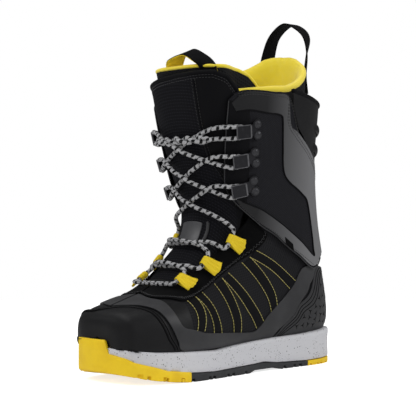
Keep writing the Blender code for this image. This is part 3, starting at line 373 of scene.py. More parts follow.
def ribbed_shell():
    """Stretch cloth with fine ribs across the tongue."""
    p = Paint("ribbed_shell", srgb(15, 15, 19), .72, specular=.09)
    u, v, fine = p.waves((.30, 0), (0, .33), (.9, .9))
    ribs = p.math("ADD", p.math("MULTIPLY", v, .7), p.math("MULTIPLY", u, .3))
    p.tint(p.step(ribs, .3, 1), srgb(34, 34, 39))
    p.raise_by(ribs, .22, .8)
    return p.raise_by(fine, .05, .5)


def twill():
    p = Paint("twill", srgb(19, 19, 23), .66, specular=.12)
    slant, cross = p.waves((.30, .30), (.30, -.30))
    diamonds = p.math("MULTIPLY", slant, cross)
    p.tint(p.step(diamonds, .1, .9), srgb(40, 40, 45))
    return p.raise_by(diamonds, .16, .8)


def softshell():
    p = Paint("softshell", srgb(11, 11, 14), .7, specular=.1)
    u, v = p.waves((1.1, 0), (0, 1.1))
    p.raise_by(p.math("MULTIPLY", u, v), .05, .5)
    return p.raise_by(p.noise(18), .6, .2)


def grey_film():
    p = Paint("grey_film", srgb(43, 43, 45), .44, specular=.3)
    p.raise_by(p.noise(.7), .03, .5)
    p.roughen(p.noise(12), .40, .52)
    return p.tint(p.step(p.noise(40), .4, .8), srgb(60, 60, 62))


def cuff_film():
    """Satin film from near black at the front to grey at the back; the grey is a painted highlight.
    """
    p = Paint("cuff_film", srgb(24, 24, 26), .44, specular=.25)
    split = p.node("ShaderNodeSeparateXYZ", {"Vector": p.object})
    # painted highlight: towards the back the film turns grey where the rim lamp's sheen falls
    p.tint(p.step(split.outputs[1], .01, .085), srgb(112, 112, 114))
    return p.raise_by(p.noise(.7), .03, .5)


def suede():
    p = Paint("suede", srgb(7, 7, 8), .95, specular=.04, sheen=.02)
    p.raise_by(p.noise(.8, 6), .25, .6)
    return p.tint(p.step(p.noise(2.2, 5), .5, .8), srgb(13, 13, 14))


def grey_fabric():
    """The quarter's cloth: a small square grid."""
    p = Paint("grey_fabric", srgb(27, 27, 29), .78, specular=.08)
    u, v, fine_u, fine_v = p.waves((.38, 0), (0, .38), (1.5, 0), (0, 1.5))
    lines = p.math("MAXIMUM", p.step(u, .7, 1), p.step(v, .7, 1))
    p.tint(p.math("MULTIPLY", lines, .6), srgb(46, 46, 49))
    p.raise_by(lines, .14, .8)
    return p.raise_by(p.math("MULTIPLY", fine_u, fine_v), .05, .5)


def counter_plastic():
    p = Paint("counter_plastic", srgb(46, 46, 48), .55, specular=.25)
    p.raise_by(p.noise(.6), .03, .6)
    return p.roughen(p.noise(10), .44, .58)


def notch_dark():
    p = Paint("notch_dark", srgb(8, 8, 9), .8, specular=.1)
    return p.raise_by(p.noise(.7), .05, .5)


def webbing(name, colour, deep):
    """Woven tape: ribs across, with the warp showing between them."""
    p = Paint(name, colour, .8, specular=.08)
    along, across = p.waves((0, .55), (.8, 0))
    cloth = p.math("MULTIPLY", along, across)
    p.tint(p.step(cloth, .9, -.9), deep)
    p.raise_by(cloth, .22, .9)
    return p.raise_by(p.noise(.5), .06, .5)


def rubber(name, colour, worn, roughness=.62):
    p = Paint(name, colour, roughness, specular=.35)
    p.raise_by(p.noise(.9, 5), .05, .6)
    p.tint(p.step(p.noise(16, 4), .45, .8), worn)
    return p.roughen(p.noise(7), roughness - .07, roughness + .08)


def speckled_foam():
    p = Paint("speckled_foam", srgb(208, 208, 212), .6, specular=.2)
    for size, limit, shade in ((2.0, .76, 60), (3.0, .70, 84), (1.3, .82, 48)):
        cell = p.cells(size)
        chosen = p.node("ShaderNodeSeparateColor", {"Color": cell.outputs["Color"]})
        near = p.step(cell.outputs["Distance"], .24, .14)
        spot = p.math("MULTIPLY", near, p.math("GREATER_THAN", chosen.outputs[0], limit))
        p.tint(spot, srgb(shade, shade, shade + 3))
    p.tint(p.math("MULTIPLY", p.step(p.noise(2.5, 6), .55, .75), .35), srgb(190, 190, 196))
    return p.raise_by(p.noise(1.2, 4), .05, .5)


def plush():
    p = Paint("plush", srgb(252, 228, 58), .9, specular=.1, sheen=.3)
    p.raise_by(p.noise(.9, 5), .3, .5)
    p.raise_by(p.noise(7), .8, .3)
    return p.tint(p.step(p.noise(5, 4), .5, .8), srgb(250, 228, 80))


def hex_mesh():
    """Knitted mesh with hexagonal openings."""
    p = Paint("hex_mesh", srgb(26, 26, 29), .7, specular=.15)
    k = .36
    waves = p.waves((k, 0), (k / 2, k * .866), (k / 2, -k * .866))
    field = p.math("ADD", p.math("ADD", waves[0], waves[1]), waves[2])
    holes = p.step(field, .2, 1.6)
    p.tint(holes, srgb(3, 3, 3))
    return p.raise_by(holes, -.6, .9)


def lining_cloth():
    p = Paint("lining_cloth", srgb(20, 20, 22), .85, specular=.15, sheen=.2)
    return p.raise_by(p.noise(1.0, 5), .15, .6)


def board_fibre():
    p = Paint("board_fibre", srgb(150, 132, 104), .85, specular=.2)
    p.raise_by(p.noise(.8, 6), .08, .6)
    return p.tint(p.step(p.noise(3, 6), .45, .7), srgb(118, 100, 78))


def metal(name, colour, roughness, worn):
    p = Paint(name, colour, roughness, metallic=.85, specular=.5)
    p.raise_by(p.noise(.5, 4), .02, .5)
    p.roughen(p.noise(2.5, 4), roughness - .06, roughness + .12)
    return p.tint(p.step(p.noise(3.5, 5), .56, .74), worn)


def braid():
    """Round braid in light grey with long dark flecks slanting along its strands."""
    p = Paint("braid", srgb(182, 182, 184), .7, specular=.15)
    turns = 1 / (2 * math.pi * LACE_RADIUS)
    steep, slack, fine_r, fine_l = p.waves((.16, turns), (.10, -turns), (.5, 4 * turns),
                                           (.5, -4 * turns))
    flecks = p.math("ADD", steep, p.math("MULTIPLY", slack, .7))
    p.tint(p.step(p.math("ADD", flecks, p.math("MULTIPLY", fine_r, .25)), .25, .5),
           srgb(12, 12, 13))
    p.tint(p.math("MULTIPLY", p.step(p.noise(1.3, 3), .5, .7), .35), srgb(92, 92, 94))
    return p.raise_by(p.math("MAXIMUM", fine_r, fine_l), .2, .8)


def thread(name, colour):
    p = Paint(name, colour, .6, specular=.3, sheen=.2)
    return p.raise_by(p.noise(.4), .08, .6)


LEATHER, RIBBED, TWILL = smooth_leather(), ribbed_shell(), twill()
SOFTSHELL, FILM, SUEDE, CLOTH = softshell(), grey_film(), suede(), grey_fabric()
PLATE_FILM = rubber("plate_film", srgb(66, 66, 69), srgb(78, 78, 81), .42)
CUFF_FILM_PAINTED_SHEEN = cuff_film()
COUNTER, NOTCH = counter_plastic(), notch_dark()
YELLOW_TAPE = webbing("yellow_tape", srgb(252, 226, 62), srgb(232, 196, 40))
BLACK_TAPE = webbing("black_tape", srgb(19, 19, 21), srgb(9, 9, 10))
YELLOW_RUBBER = rubber("yellow_rubber", srgb(248, 210, 28), srgb(236, 194, 22), .55)
BLACK_RUBBER = rubber("black_rubber", srgb(50, 51, 53), srgb(62, 63, 65))
FOAM, PLUSH, HEX, LINING = speckled_foam(), plush(), hex_mesh(), lining_cloth()
BOARD = board_fibre()
RIVET_METAL = metal("rivet_metal", srgb(62, 62, 65), .36, srgb(74, 74, 77))
DARK_METAL = metal("dark_metal", srgb(42, 42, 45), .36, srgb(54, 54, 57))
EDGE_METAL = metal("edge_metal", srgb(104, 104, 107), .42, srgb(66, 66, 69))
STEEL = metal("steel", srgb(150, 150, 154), .35, srgb(120, 120, 124))
LACE = braid()
YELLOW_THREAD = thread("yellow_thread", srgb(190, 180, 100))
BLACK_THREAD = thread("black_thread", srgb(10, 10, 11))
GREY_THREAD = thread("grey_thread", srgb(36, 36, 39))


# ---------------------------------------------------------------- making pieces

def grid_faces(rows, columns, ring_rows=False, ring_columns=False):
    i = np.arange(rows if ring_rows else rows - 1)[:, None]
    j = np.arange(columns if ring_columns else columns - 1)[None]
    i2, j2 = (i + 1) % rows, (j + 1) % columns
    return np.stack([i * columns + j, i * columns + j2, i2 * columns + j2, i2 * columns + j],
                    -1).reshape(-1, 4)


def make_object(name, points, faces, paint, uv=None):
    mesh = bpy.data.meshes.new(name)
    mesh.from_pydata((np.asarray(points, float).reshape(-1, 3) * MM).tolist(), [],
                     [list(map(int, f)) for f in faces])
    if uv is not None:
        layer = mesh.uv_layers.new(name="map")
        corners = np.empty(len(mesh.loops), int)
        mesh.loops.foreach_get("vertex_index", corners)
        layer.data.foreach_set("uv", (np.asarray(uv, float).reshape(-1, 2)[corners] * MM).ravel())
    mesh.shade_smooth()
    mesh.materials.append(paint.material)
    obj = bpy.data.objects.new(name, mesh)
    bpy.context.scene.collection.objects.link(obj)
    return obj


def grid_uv(points):
    """Distances over the grid, in millimetres, measured from its middle column."""
    step = np.linalg.norm(np.diff(points, axis=1), axis=-1)
    u = np.concatenate([np.zeros((len(points), 1)), np.cumsum(step, 1)], 1)
    u -= u[:, [points.shape[1] // 2]]
    rise = np.linalg.norm(np.diff(points, axis=0), axis=-1)
    v = np.concatenate([np.zeros((1, points.shape[1])), np.cumsum(rise, 0)], 0)
    return np.stack([u, v], -1)


def grid_object(name, points, paint, outwards=None, **rings):
    faces = grid_faces(*points.shape[:2], **rings)
    if outwards is not None:
        flat, out = points.reshape(-1, 3), outwards.reshape(-1, 3)
        corners = flat[faces]
        facing = np.cross(corners[:, 2] - corners[:, 0], corners[:, 3] - corners[:, 1])
        if (facing * out[faces].mean(1)).sum() < 0:
            faces = faces[:, ::-1]
    return make_object(name, points, faces, paint, grid_uv(points))


def thicken(obj, thickness, offset=-1.0):
    wall = obj.modifiers.new("wall", "SOLIDIFY")
    wall.thickness = thickness * MM
    wall.offset = offset
    return obj


def round_edges(obj, width, segments=2, angle=50):
    edge = obj.modifiers.new("edges", "BEVEL")
    edge.width = width * MM
    edge.segments = segments
    edge.limit_method = "ANGLE"
    edge.angle_limit = math.radians(angle)
    edge.harden_normals = False
    return obj


def settle(obj):
    """Applies the modifiers."""
    graph = bpy.context.evaluated_depsgraph_get()
    mesh = bpy.data.meshes.new_from_object(obj.evaluated_get(graph))
    obj.modifiers.clear()
    obj.data = mesh
    return obj


def place(obj, body, slot, *nodes):
    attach(obj, body)
    if nodes:
        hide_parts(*nodes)
    return obj


def panel(name, paint, grid, rise, thick=1.2, edge=.4):
    """A sheet on the boot surface with a rounded edge; its outer face is at rise."""
    grid = np.asarray(grid, float)
    v, a = grid[..., 0], grid[..., 1]
    n = normal(v, a)
    height = rise(v, a) if callable(rise) else np.full(v.shape, float(rise))
    obj = grid_object(name, surface(v, a) + n * height[..., None], paint, n)
    thicken(obj, thick)
    return round_edges(obj, edge)


def both_sides(make, name, body, slot, *nodes):
    """Makes a piece for each side: make(name, side) with side 1 lateral, -1 medial."""
    for word, side in (("lateral", 1), ("medial", -1)):
        names = [f"{node}_{word}" for node in nodes]
        place(make(f"{name}_{word}", side), body, slot, *names)


def on_side(grid, side):
    return np.array(grid) * (1, side)


def resample(points, step):
    """Points spaced step millimetres apart along a line of points."""
    points = np.asarray(points, float)
    gaps = np.linalg.norm(np.diff(points, axis=0), axis=1)
    s = np.concatenate([[0], np.cumsum(gaps)])
    count = max(2, int(round(s[-1] / step)) + 1)
    t = np.linspace(0, s[-1], count)
    return np.stack([np.interp(t, s, points[:, k]) for k in range(3)], 1), t


def frames_along(points):
    """Tangents, and two directions across that turn as little as possible."""
    tangent = np.gradient(points, axis=0)
    tangent /= np.linalg.norm(tangent, axis=1, keepdims=True)
    first = np.cross(tangent[0], (0.3, 0.2, 1))
    across = [first / np.linalg.norm(first)]
    for t in tangent[1:]:
        side = across[-1] - t * np.dot(across[-1], t)
        across.append(side / np.linalg.norm(side))
    across = np.array(across)
    return tangent, across, np.cross(tangent, across)


def tube(name, paint, points, radius, step=1.5, sides=10, braid_depth=0.0):
    """A round cord along points, with closed ends."""
    line, s = resample(points, step)
    _, one, two = frames_along(line)
    turn = np.linspace(0, 2 * math.pi, sides, endpoint=False)
    size = np.full((len(line), sides), float(radius))
    if braid_depth:
        hand = np.maximum(np.cos(2 * math.pi * .25 * s[:, None] + 2 * turn[None]),
                          np.cos(2 * math.pi * .25 * s[:, None] - 2 * turn[None]))
        size += braid_depth * (hand - .6)
    size[0] *= .5
    size[-1] *= .5
    ring = (line[:, None] + size[..., None] * (np.cos(turn)[None, :, None] * one[:, None]
                                               + np.sin(turn)[None, :, None] * two[:, None]))
    faces = grid_faces(len(line), sides, ring_columns=True).tolist()
    faces = [f[::-1] for f in faces]
    faces.append(list(range(sides)))
    faces.append([len(line) * sides - 1 - k for k in range(sides)])
    uv = np.stack(np.broadcast_arrays(s[:, None], turn[None] * radius), -1)
    return make_object(name, ring, faces, paint, uv)


def line_on(path, rise, count=120):
    """Points over the boot surface along a smooth path of (v, a) points."""
    path = smooth(path, np.linspace(0, len(path) - 1, count))
    height = rise(path[:, 0], path[:, 1]) if callable(rise) else rise
    return at(path[:, 0], path[:, 1], np.broadcast_to(height, len(path)))


def stitches(name, paint, lines, length=2.4, gap=1.0, radius=.34):
    """Threads lying along lines of points: one short rounded bead for each stitch."""
    rings = ((-.5, .25), (-.38, .8), (0, 1), (.38, .8), (.5, .25))
    sides = 6
    turn = np.linspace(0, 2 * math.pi, sides, endpoint=False)
    points, faces = [], []
    base = grid_faces(len(rings), sides, ring_columns=True)
    for line in lines:
        spots, _ = resample(line, length + gap)
        if len(spots) < 3:
            continue
        tangent, one, two = frames_along(spots)
        for p, t, u, w in zip(spots, tangent, one, two):
            start = len(points)
            for along, wide in rings:
                for c, s in zip(np.cos(turn), np.sin(turn)):
                    points.append(p + t * along * length + (u * c + w * s) * radius * wide)
            faces += (base[:, ::-1] + start).tolist()
            faces.append([start + k for k in range(sides)])
            faces.append([start + (len(rings) - 1) * sides + sides - 1 - k
                          for k in range(sides)])
    return make_object(name, points, faces, paint)


def ribbon(name, paint, path, across, width, thickness, count=90, rows=9, shift=0.0):
    """A webbing band along a smooth path; its width turns from one direction to another."""
    s = np.linspace(0, len(path) - 1, count)
    centre = smooth(path, s)
    wide = smooth(across, s * (len(across) - 1) / (len(path) - 1))
    wide /= np.linalg.norm(wide, axis=1, keepdims=True)
    tangent = np.gradient(centre, axis=0)
    tangent /= np.linalg.norm(tangent, axis=1, keepdims=True)
    out = np.cross(tangent, wide)
    t = np.linspace(-.5, .5, rows)
    points = (centre + out * shift)[:, None] + wide[:, None] * (width * t)[None, :, None]
    obj = grid_object(name, points.transpose(1, 0, 2), paint)
    thicken(obj, thickness, 0)
    return round_edges(obj, thickness * .3)


# ---------------------------------------------------------------- sole

def plan_outline(inset=0.0, count=260):
    lateral = [(x, y) for y, x, _ in SOLE_PLAN]
    medial = [(x, y) for y, _, x in reversed(SOLE_PLAN)]
    points = np.array([SOLE_TOE] + lateral + [SOLE_HEEL] + medial, float)
    ring = np.vstack([points[-1:], points, points[:2]])
    s = np.linspace(1, 1 + len(points), count, endpoint=False)
    ahead, behind = smooth(ring, s + .05), smooth(ring, s - .05)
    along = ahead - behind
    along /= np.linalg.norm(along, axis=1, keepdims=True)
    outward = np.stack([along[:, 1], -along[:, 0]], 1)
    return smooth(ring, s) - outward * inset


def closed_loft(name, paint, rings):
    """Rings of points joined into a skin, the first and last closed by a face."""
    points = np.array(rings)
    rows, columns = points.shape[:2]
    faces = grid_faces(rows, columns, ring_columns=True).tolist()
    faces.append(list(range(columns))[::-1])
    faces.append([(rows - 1) * columns + k for k in range(columns)])
    edge = np.linalg.norm(np.roll(points, -1, 1) - points, axis=-1).cumsum(1)
    uv = np.stack([edge, points[..., 2]], -1)
    return make_object(name, points, faces, paint, uv)


def cutter(bm):
    mesh = bpy.data.meshes.new("cutter")
    bm.to_mesh(mesh)
    bm.free()
    obj = bpy.data.objects.new("cutter", mesh)
    bpy.context.scene.collection.objects.link(obj)
    return obj


def cutter_box(places):
    """Boxes, each given by its centre, size and turn about the vertical."""
    bm = bmesh.new()
    for centre, size, turn in places:
        bmesh.ops.create_cube(bm, size=1, matrix=Matrix.Translation(Vector(centre) * MM)
                              @ Matrix.Rotation(math.radians(turn), 4, "Z")
                              @ Matrix.Diagonal((*(Vector(size) * MM), 1)))
    return cutter(bm)


def side_cutter(outline):
    """A (y, z) outline carried straight across the boot."""
    half_width = 90.0
    bm = bmesh.new()
    face = bm.faces.new([bm.verts.new(Vector((-half_width, y, z)) * MM) for y, z in outline])
    across = bmesh.ops.extrude_face_region(bm, geom=[face])
    bmesh.ops.translate(bm, vec=Vector((2 * half_width * MM, 0, 0)),
                        verts=[g for g in across["geom"] if isinstance(g, bmesh.types.BMVert)])
    bmesh.ops.recalc_face_normals(bm, faces=bm.faces)
    return cutter(bm)


def cut(obj, other, operation):
    boolean = obj.modifiers.new("cut", "BOOLEAN")
    boolean.operation = operation
    boolean.object = other
    boolean.solver = "MANIFOLD"
    bpy.context.view_layer.update()
    settle(obj)
    bpy.data.objects.remove(other)
    return obj


def treads(ys, depth, width, ground=None):
    """Grooves that run in from both edges of the tread."""
    places = []
    for k, y in enumerate(ys):
        lift = depth / 2 - 1 + (float(interp(ground, y)) if ground else 0)
        lean = 14 if k % 2 else -14
        places.append(((38, y, lift), (44, width, depth), lean))
        places.append(((-38, y, lift), (44, width, depth), -lean))
    return places


def sharpen(obj, angle=35):
    obj.data.shade_smooth()
    obj.data.set_sharp_from_angle(angle=math.radians(angle))
    return obj


def midsole():
    """White speckled foam, slightly waisted, with a soft upper lip."""
    profile = [(14, 0, 0), (3.4, 0, .0), (1.4, .02, 0), (.7, .06, 0), (.9, .3, 0), (1.3, .5, 0),
               (1.0, .7, 0), (.5, .86, 0), (.5, .94, 0), (1.0, 1, 0), (2.6, 1, .6),
               (12, 1, .6)]
    rings = []
    for inset, share, lift in profile:
        plan = plan_outline(inset)
        low, high = interp(MIDSOLE_BOTTOM, plan[:, 1]), interp(SOLE_TOP, plan[:, 1])
        z = low + (high - low) * share + lift
        inside = (plan[:, 1] < OUTSOLE_TOE_END) & (z < toe_wall_top(plan[:, 0], plan[:, 1]) + .4)
        shrunk = plan_outline(max(inset, 3.4))
        plan = np.where(inside[:, None], shrunk, plan)
        rings.append(np.column_stack([plan, z]))
    return sharpen(closed_loft("midsole_foam", FOAM, rings), 60)


def toe_rubber():
    """The yellow toe piece: tread, side strip and the high bumper across the toe."""
    count = 400
    rings = []
    for inset, share, drop in ((20, -.02, 0), (1.6, 0, 0), (.2, .06, 0), (0, .2, 0), (0, .7, 0),
                               (.1, 1, .1), (.6, 1, .9), (1.4, 1, 1.2), (2.6, 1, .9),
                               (3.2, 1, -.4), (3.3, .3, 0), (20, .3, 0)):
        plan, edge = plan_outline(inset, count), plan_outline(0, count)
        low = interp(TOE_GROUND, edge[:, 1])
        top = toe_wall_top(edge[:, 0], edge[:, 1])
        foot = interp(MIDSOLE_BOTTOM, edge[:, 1]) - .4
        z = low + (top - low) * share + drop if share != .3 else foot
        rings.append(np.column_stack([plan, np.maximum(z, low)]))
    obj = closed_loft("toe_rubber", YELLOW_RUBBER, rings)
    cut(obj, side_cutter([(-170, -5), (OUTSOLE_TOE_END, -5), (OUTSOLE_TOE_END, 60),
                          (-170, 60)]), "INTERSECT")
    cut(obj, cutter_box(treads([-89, -98, -107, -116, -125, -134], 5.0, 3.2, TOE_GROUND)),
        "DIFFERENCE")
    return round_edges(sharpen(obj), .3, 1, 60)


def sole_block(name, paint, outline, inset, grooves):
    rings = [np.column_stack([plan_outline(inset + more), np.full(260, z)])
             for more, z in ((1.0, -1), (0, .8), (0, 30))]
    obj = closed_loft(name, paint, rings)
    cut(obj, side_cutter(outline), "INTERSECT")
    cut(obj, cutter_box(grooves), "DIFFERENCE")
    return round_edges(sharpen(obj), .35, 1, 60)


def under_midsole(y0, y1):
    ys = np.linspace(y0, y1, 16)
    return [(float(y), float(interp(MIDSOLE_BOTTOM, y)) - .4) for y in ys]


def outsole():
    y0, y1 = OUTSOLE_TOE_END + .4, OUTSOLE_HEEL_START - .4
    arch = [(y0, 0), (2, 0), (10, 2.5), (44, 2.5), (52, 0), (y1, 0)]
    middle = sole_block("tread_middle", BLACK_RUBBER, arch + under_midsole(y1, y0), 1.2,
                        treads([-76, -62, -48, -34, -20, -6, 58, 70, 82], 4.2, 3.6))
    place(middle, "lower", "black_rubber", "outsole_middle")
    heel_outline = [(OUTSOLE_HEEL_START, 0), (138, 0), (160, 5)]
    heel = sole_block("tread_heel", YELLOW_RUBBER,
                      heel_outline + under_midsole(160, OUTSOLE_HEEL_START), .8,
                      treads([98, 107, 116, 125, 134, 143], 3.0, 2.4))
    place(heel, "lower", "yellow_rubber", "outsole_heel")


# ---------------------------------------------------------------- lower boot

def toe_cap():
    rows = []
    for a in np.linspace(-124, 124, 121):
        side = -1 if a < 0 else 1
        end = float(interp(TOE_CAP_EDGE, a))
        row = []
        for t in np.linspace(0, 1, 46):
            v = max(end * t, .03)
            row.append((v, side * min(abs(a), abs(sole_angle(v, side)))))
        rows.append(row)

    def rise(v, a):
        return TRIM_RISE - 2 * (1 - fade(v, 1.2, 2.1))

    return panel("toe_cap_leather", LEATHER, rows, rise, 1.2, .5)


def vamp():
    rows = []
    for v in np.linspace(1.7, 4.7, 44):
        left, right = sole_angle(v, -1), sole_angle(v, 1)
        rows.append([(v, left + (right - left) * t) for t in np.linspace(0, 1, 90)])
    return panel("vamp_leather", LEATHER, rows, UPPER_RISE, 1.2, .4)


def quarter(name, side):
    sole = {}

    def last(v):
        if v not in sole:
            limit = sole_angle(v)
            sole[v] = min(limit, float(interp(COUNTER_CURVE, v)) + 9) if v > 7 else limit
        return sole[v]

    grid = rows_grid(np.linspace(4.3, 10.05, 96), lambda v: float(interp(QUARTER_TOP, v)),
                     last, 80)
    return panel(name, CLOTH, on_side(grid, side), UPPER_RISE, 1.2, .4)


def stripe_edge(stripe, which, count=24):
    """One stitched line of a dark band, bowed a little towards the heel."""
    top, bottom = np.array(stripe[2 * which]), np.array(stripe[2 * which + 1])
    t = np.linspace(0, 1, count)[:, None]
    return top + (bottom - top) * t + np.array((.12, 0)) * np.sin(math.pi * t)


def stripes(name, side):
    """The dark bands, joined into one piece."""
    points, faces = [], []
    for stripe in STRIPES:
        one, two = stripe_edge(stripe, 0), stripe_edge(stripe, 1)
        t = np.linspace(0, 1, 7)[:, None, None]
        grid = on_side(one * (1 - t) + two * t, side)
        v, a = grid[..., 0], grid[..., 1]
        start = sum(len(p) for p in points)
        crown = .35 * np.sin(math.pi * np.linspace(0, 1, 7))[:, None]
        points.append((surface(v, a) + normal(v, a) * (UPPER_RISE + .55 + crown)[..., None]
                       ).reshape(-1, 3))
        made = grid_faces(7, 24) + start
        faces += (made if side > 0 else made[:, ::-1]).tolist()
    uv = np.concatenate(points)[:, 1:]
    obj = make_object(name, np.concatenate(points), faces, SOFTSHELL, uv)
    thicken(obj, .9)
    return round_edges(obj, .25)


def stripe_stitching(name, side):
    lines = []
    for stripe in STRIPES:
        for which in (0, 1):
            path = on_side(stripe_edge(stripe, which), side)
            lines.append(raised(path, UPPER_RISE + .75))
    return stitches(name, YELLOW_THREAD, lines, 2.8, .3, .34)


def eyestay(name, side):
    grid = band(EYESTAY_INNER, EYESTAY_OUTER, 26, 110)
    return panel(name, SUEDE, on_side(grid, side), TRIM_RISE, 1.3, .5)


def eyestay_stitching(name, side):
    """Zigzag along the lower edge."""
    s = np.linspace(0, len(EYESTAY_OUTER) - 1, 300)
    edge, inner = smooth(EYESTAY_OUTER, s), smooth(EYESTAY_INNER, s)
    teeth = .13 + .05 * (2 * np.abs((s * 9) % 1 - .5) * 2 - 1)
    path = on_side(edge + (inner - edge) * teeth[:, None], side)
    return stitches(name, GREY_THREAD, [raised(path, .05)], 1.5, .5, .28)


def rand(name, side):
    grid = band(RAND_UPPER, RAND_LOWER, 22, 150)
    for row in grid:
        for spot in row:
            spot[1] = min(spot[1], abs(sole_angle(spot[0], side)))
    return panel(name, FILM, on_side(grid, side), TRIM_RISE, 1.2, .5)


def heel_counter():
    def edge(v):
        return min(float(interp(COUNTER_CURVE, v)), sole_angle(v) - .3)

    half = rows_grid(np.linspace(6.95, 10.1, 70), edge, sole_angle, 46)
    both = np.concatenate([half, mirrored(half)[:, ::-1][:, 1:] + (0, 360)], 1)
    return panel("heel_counter_shell", COUNTER, both, TRIM_RISE + .2, 1.3, .5)


def notches(name, side):
    """Small three-pointed notches scattered over the heel counter."""
    places = []
    for row, v in enumerate(np.arange(7.7, 10.0, .17)):
        edge, back = float(interp(COUNTER_CURVE, v)), 176.0
        count = int((back - edge) / 7.4)
        for k in range(count):
            a = edge + 9 + (back - edge - 10) * (k + .5 * (row % 2)) / max(count, 1)
            p = surface(v, a)
            if p[2] > interp(SOLE_TOP, p[1]) + 7 and a < 176:
                places.append((v, a, 24 * row + 37 * k))
    points, faces = [], []
    for v, a, turn in places:
        base = frame_at(v, side * a, TRIM_RISE + .28)
        start = len(points)
        star = []
        for k in range(6):
            angle = math.radians(turn + 60 * k)
            reach = 3.3 if k % 2 == 0 else .8
            star.append((reach * math.cos(angle), reach * math.sin(angle)))
        for z in (0.0, -.8):
            points += [np.array(base @ (Vector((x, y, z)) * MM)) / MM for x, y in star]
        faces.append([start + k for k in range(6)])
        faces += [[start + k, start + 6 + k, start + 6 + (k + 1) % 6, start + (k + 1) % 6]
                  for k in range(6)]
    return make_object(name, points, faces, NOTCH)


def counter_grooves(name, side):
    """Three dark lines along the counter's front edge."""
    points, faces = [], []
    sides = 8
    for shift in (2.2, 4.4, 6.6):
        path = [(v, float(interp(COUNTER_CURVE, v)) + shift) for v in np.linspace(7.15, 9.8, 60)]
        path = [p for p in path if p[1] < sole_angle(p[0]) - 1]
        path = on_side(path, side)
        line, _ = resample(raised(path, TRIM_RISE + .15), 2)
        _, one, two = frames_along(line)
        turn = np.linspace(0, 2 * math.pi, sides, endpoint=False)
        ring = line[:, None] + .45 * (np.cos(turn)[None, :, None] * one[:, None]
                                      + np.sin(turn)[None, :, None] * two[:, None])
        start = sum(len(p) for p in points)
        faces += (grid_faces(len(line), sides, ring_columns=True)[:, ::-1] + start).tolist()
        points.append(ring.reshape(-1, 3))
    return make_object(name, np.concatenate(points), faces, NOTCH)


def frame_at(v, a, rise):
    """A frame on the surface: X towards the back, Y up the boot, Z outwards."""
    n = normal(v, a)
    up = surface(v + .03, a) - surface(v - .03, a)
    up -= n * np.dot(up, n)
    up /= np.linalg.norm(up)
    x = np.cross(up, n)
    spot = Matrix.Identity(4)
    for k, axis in enumerate((x, up, n)):
        spot.col[k] = Vector((*axis, 0))
    spot.col[3] = Vector((*(at(v, a, rise) * MM), 1))
    return spot


def toe_cap_seam():
    """Two dark grooves along the toe cap's edge, with a piped roll between them."""
    made = []
    for back, paint, radius, rise in ((.06, NOTCH, .55, .0), (.115, LEATHER, .9, -.25),
                                      (.17, NOTCH, .55, .0)):
        path = []
        for a in np.linspace(-118, 118, 160):
            v = float(interp(TOE_CAP_EDGE, a)) - back
            if abs(a) < abs(sole_angle(v, -1 if a < 0 else 1)) - .5:
                path.append((v, a))
        path = np.array(path)
        line = raised(path, rise)
        made.append(tube(f"toe_cap_seam_{len(made) + 1}", paint, line, radius, 1.5, 8))
    return made


def lower_boot():
    place(midsole(), "lower", "white_foam", "midsole")
    place(toe_rubber(), "lower", "yellow_rubber", "outsole_toe")
    outsole()
    place(toe_cap(), "lower", "black_leather", "toe_cap")
    for line in toe_cap_seam():
        place(line, "lower", "black_leather")
    place(vamp(), "lower", "black_leather", "vamp")
    both_sides(quarter, "quarter_cloth", "lower", "grey_fabric", "quarter")
    both_sides(stripes, "quarter_bands", "lower", "black_leather")
    both_sides(stripe_stitching, "band_stitching", "lower", "yellow_webbing")
    both_sides(rand, "rand_film", "lower", "grey_film", "rand")
    both_sides(eyestay, "eyestay_suede", "lower", "suede", "eyestay")
    both_sides(eyestay_stitching, "eyestay_zigzag", "lower", "suede")
    place(heel_counter(), "lower", "counter_plastic", "heel_counter")
    both_sides(notches, "counter_notches", "lower", "counter_plastic")
    both_sides(counter_grooves, "counter_grooves", "lower", "counter_plastic")


# ---------------------------------------------------------------- tongue

def tongue_rise(v, a):
    dip = 1.2 * fade(np.abs(a), 42, 52) * fade(v, 7.4, 8.2)
    return -2.5 + 1.5 * fade(v, 6.9, 8.2) - dip


def tongue():
    columns = 110
    rows = []
    for t in np.linspace(0, 1, 190):
        row = []
        for k in np.linspace(-1, 1, columns):
            top = float(interp(TONGUE_TOP, 62 * k))
            v = 4.3 + (top - 4.3) * t
            row.append((v, k * float(interp(TONGUE_HALF, v))))
        rows.append(row)
    obj = panel("tongue_shell", RIBBED, rows, tongue_rise, 3.2, 1.3)
    obj.data.materials.append(SOFTSHELL.material)
    grid = np.array(rows)
    seam = np.interp(grid[..., 0], [p[0] for p in TONGUE_SEAM], [p[1] for p in TONGUE_SEAM])
    seam = np.where(grid[..., 0] < 8.9, 46 + 4 * (8.9 - grid[..., 0]), seam)
    beyond = (grid[..., 1] > seam)[:-1, :-1].reshape(-1)
    obj.data.polygons.foreach_set("material_index", beyond.astype(np.int32))
    return obj


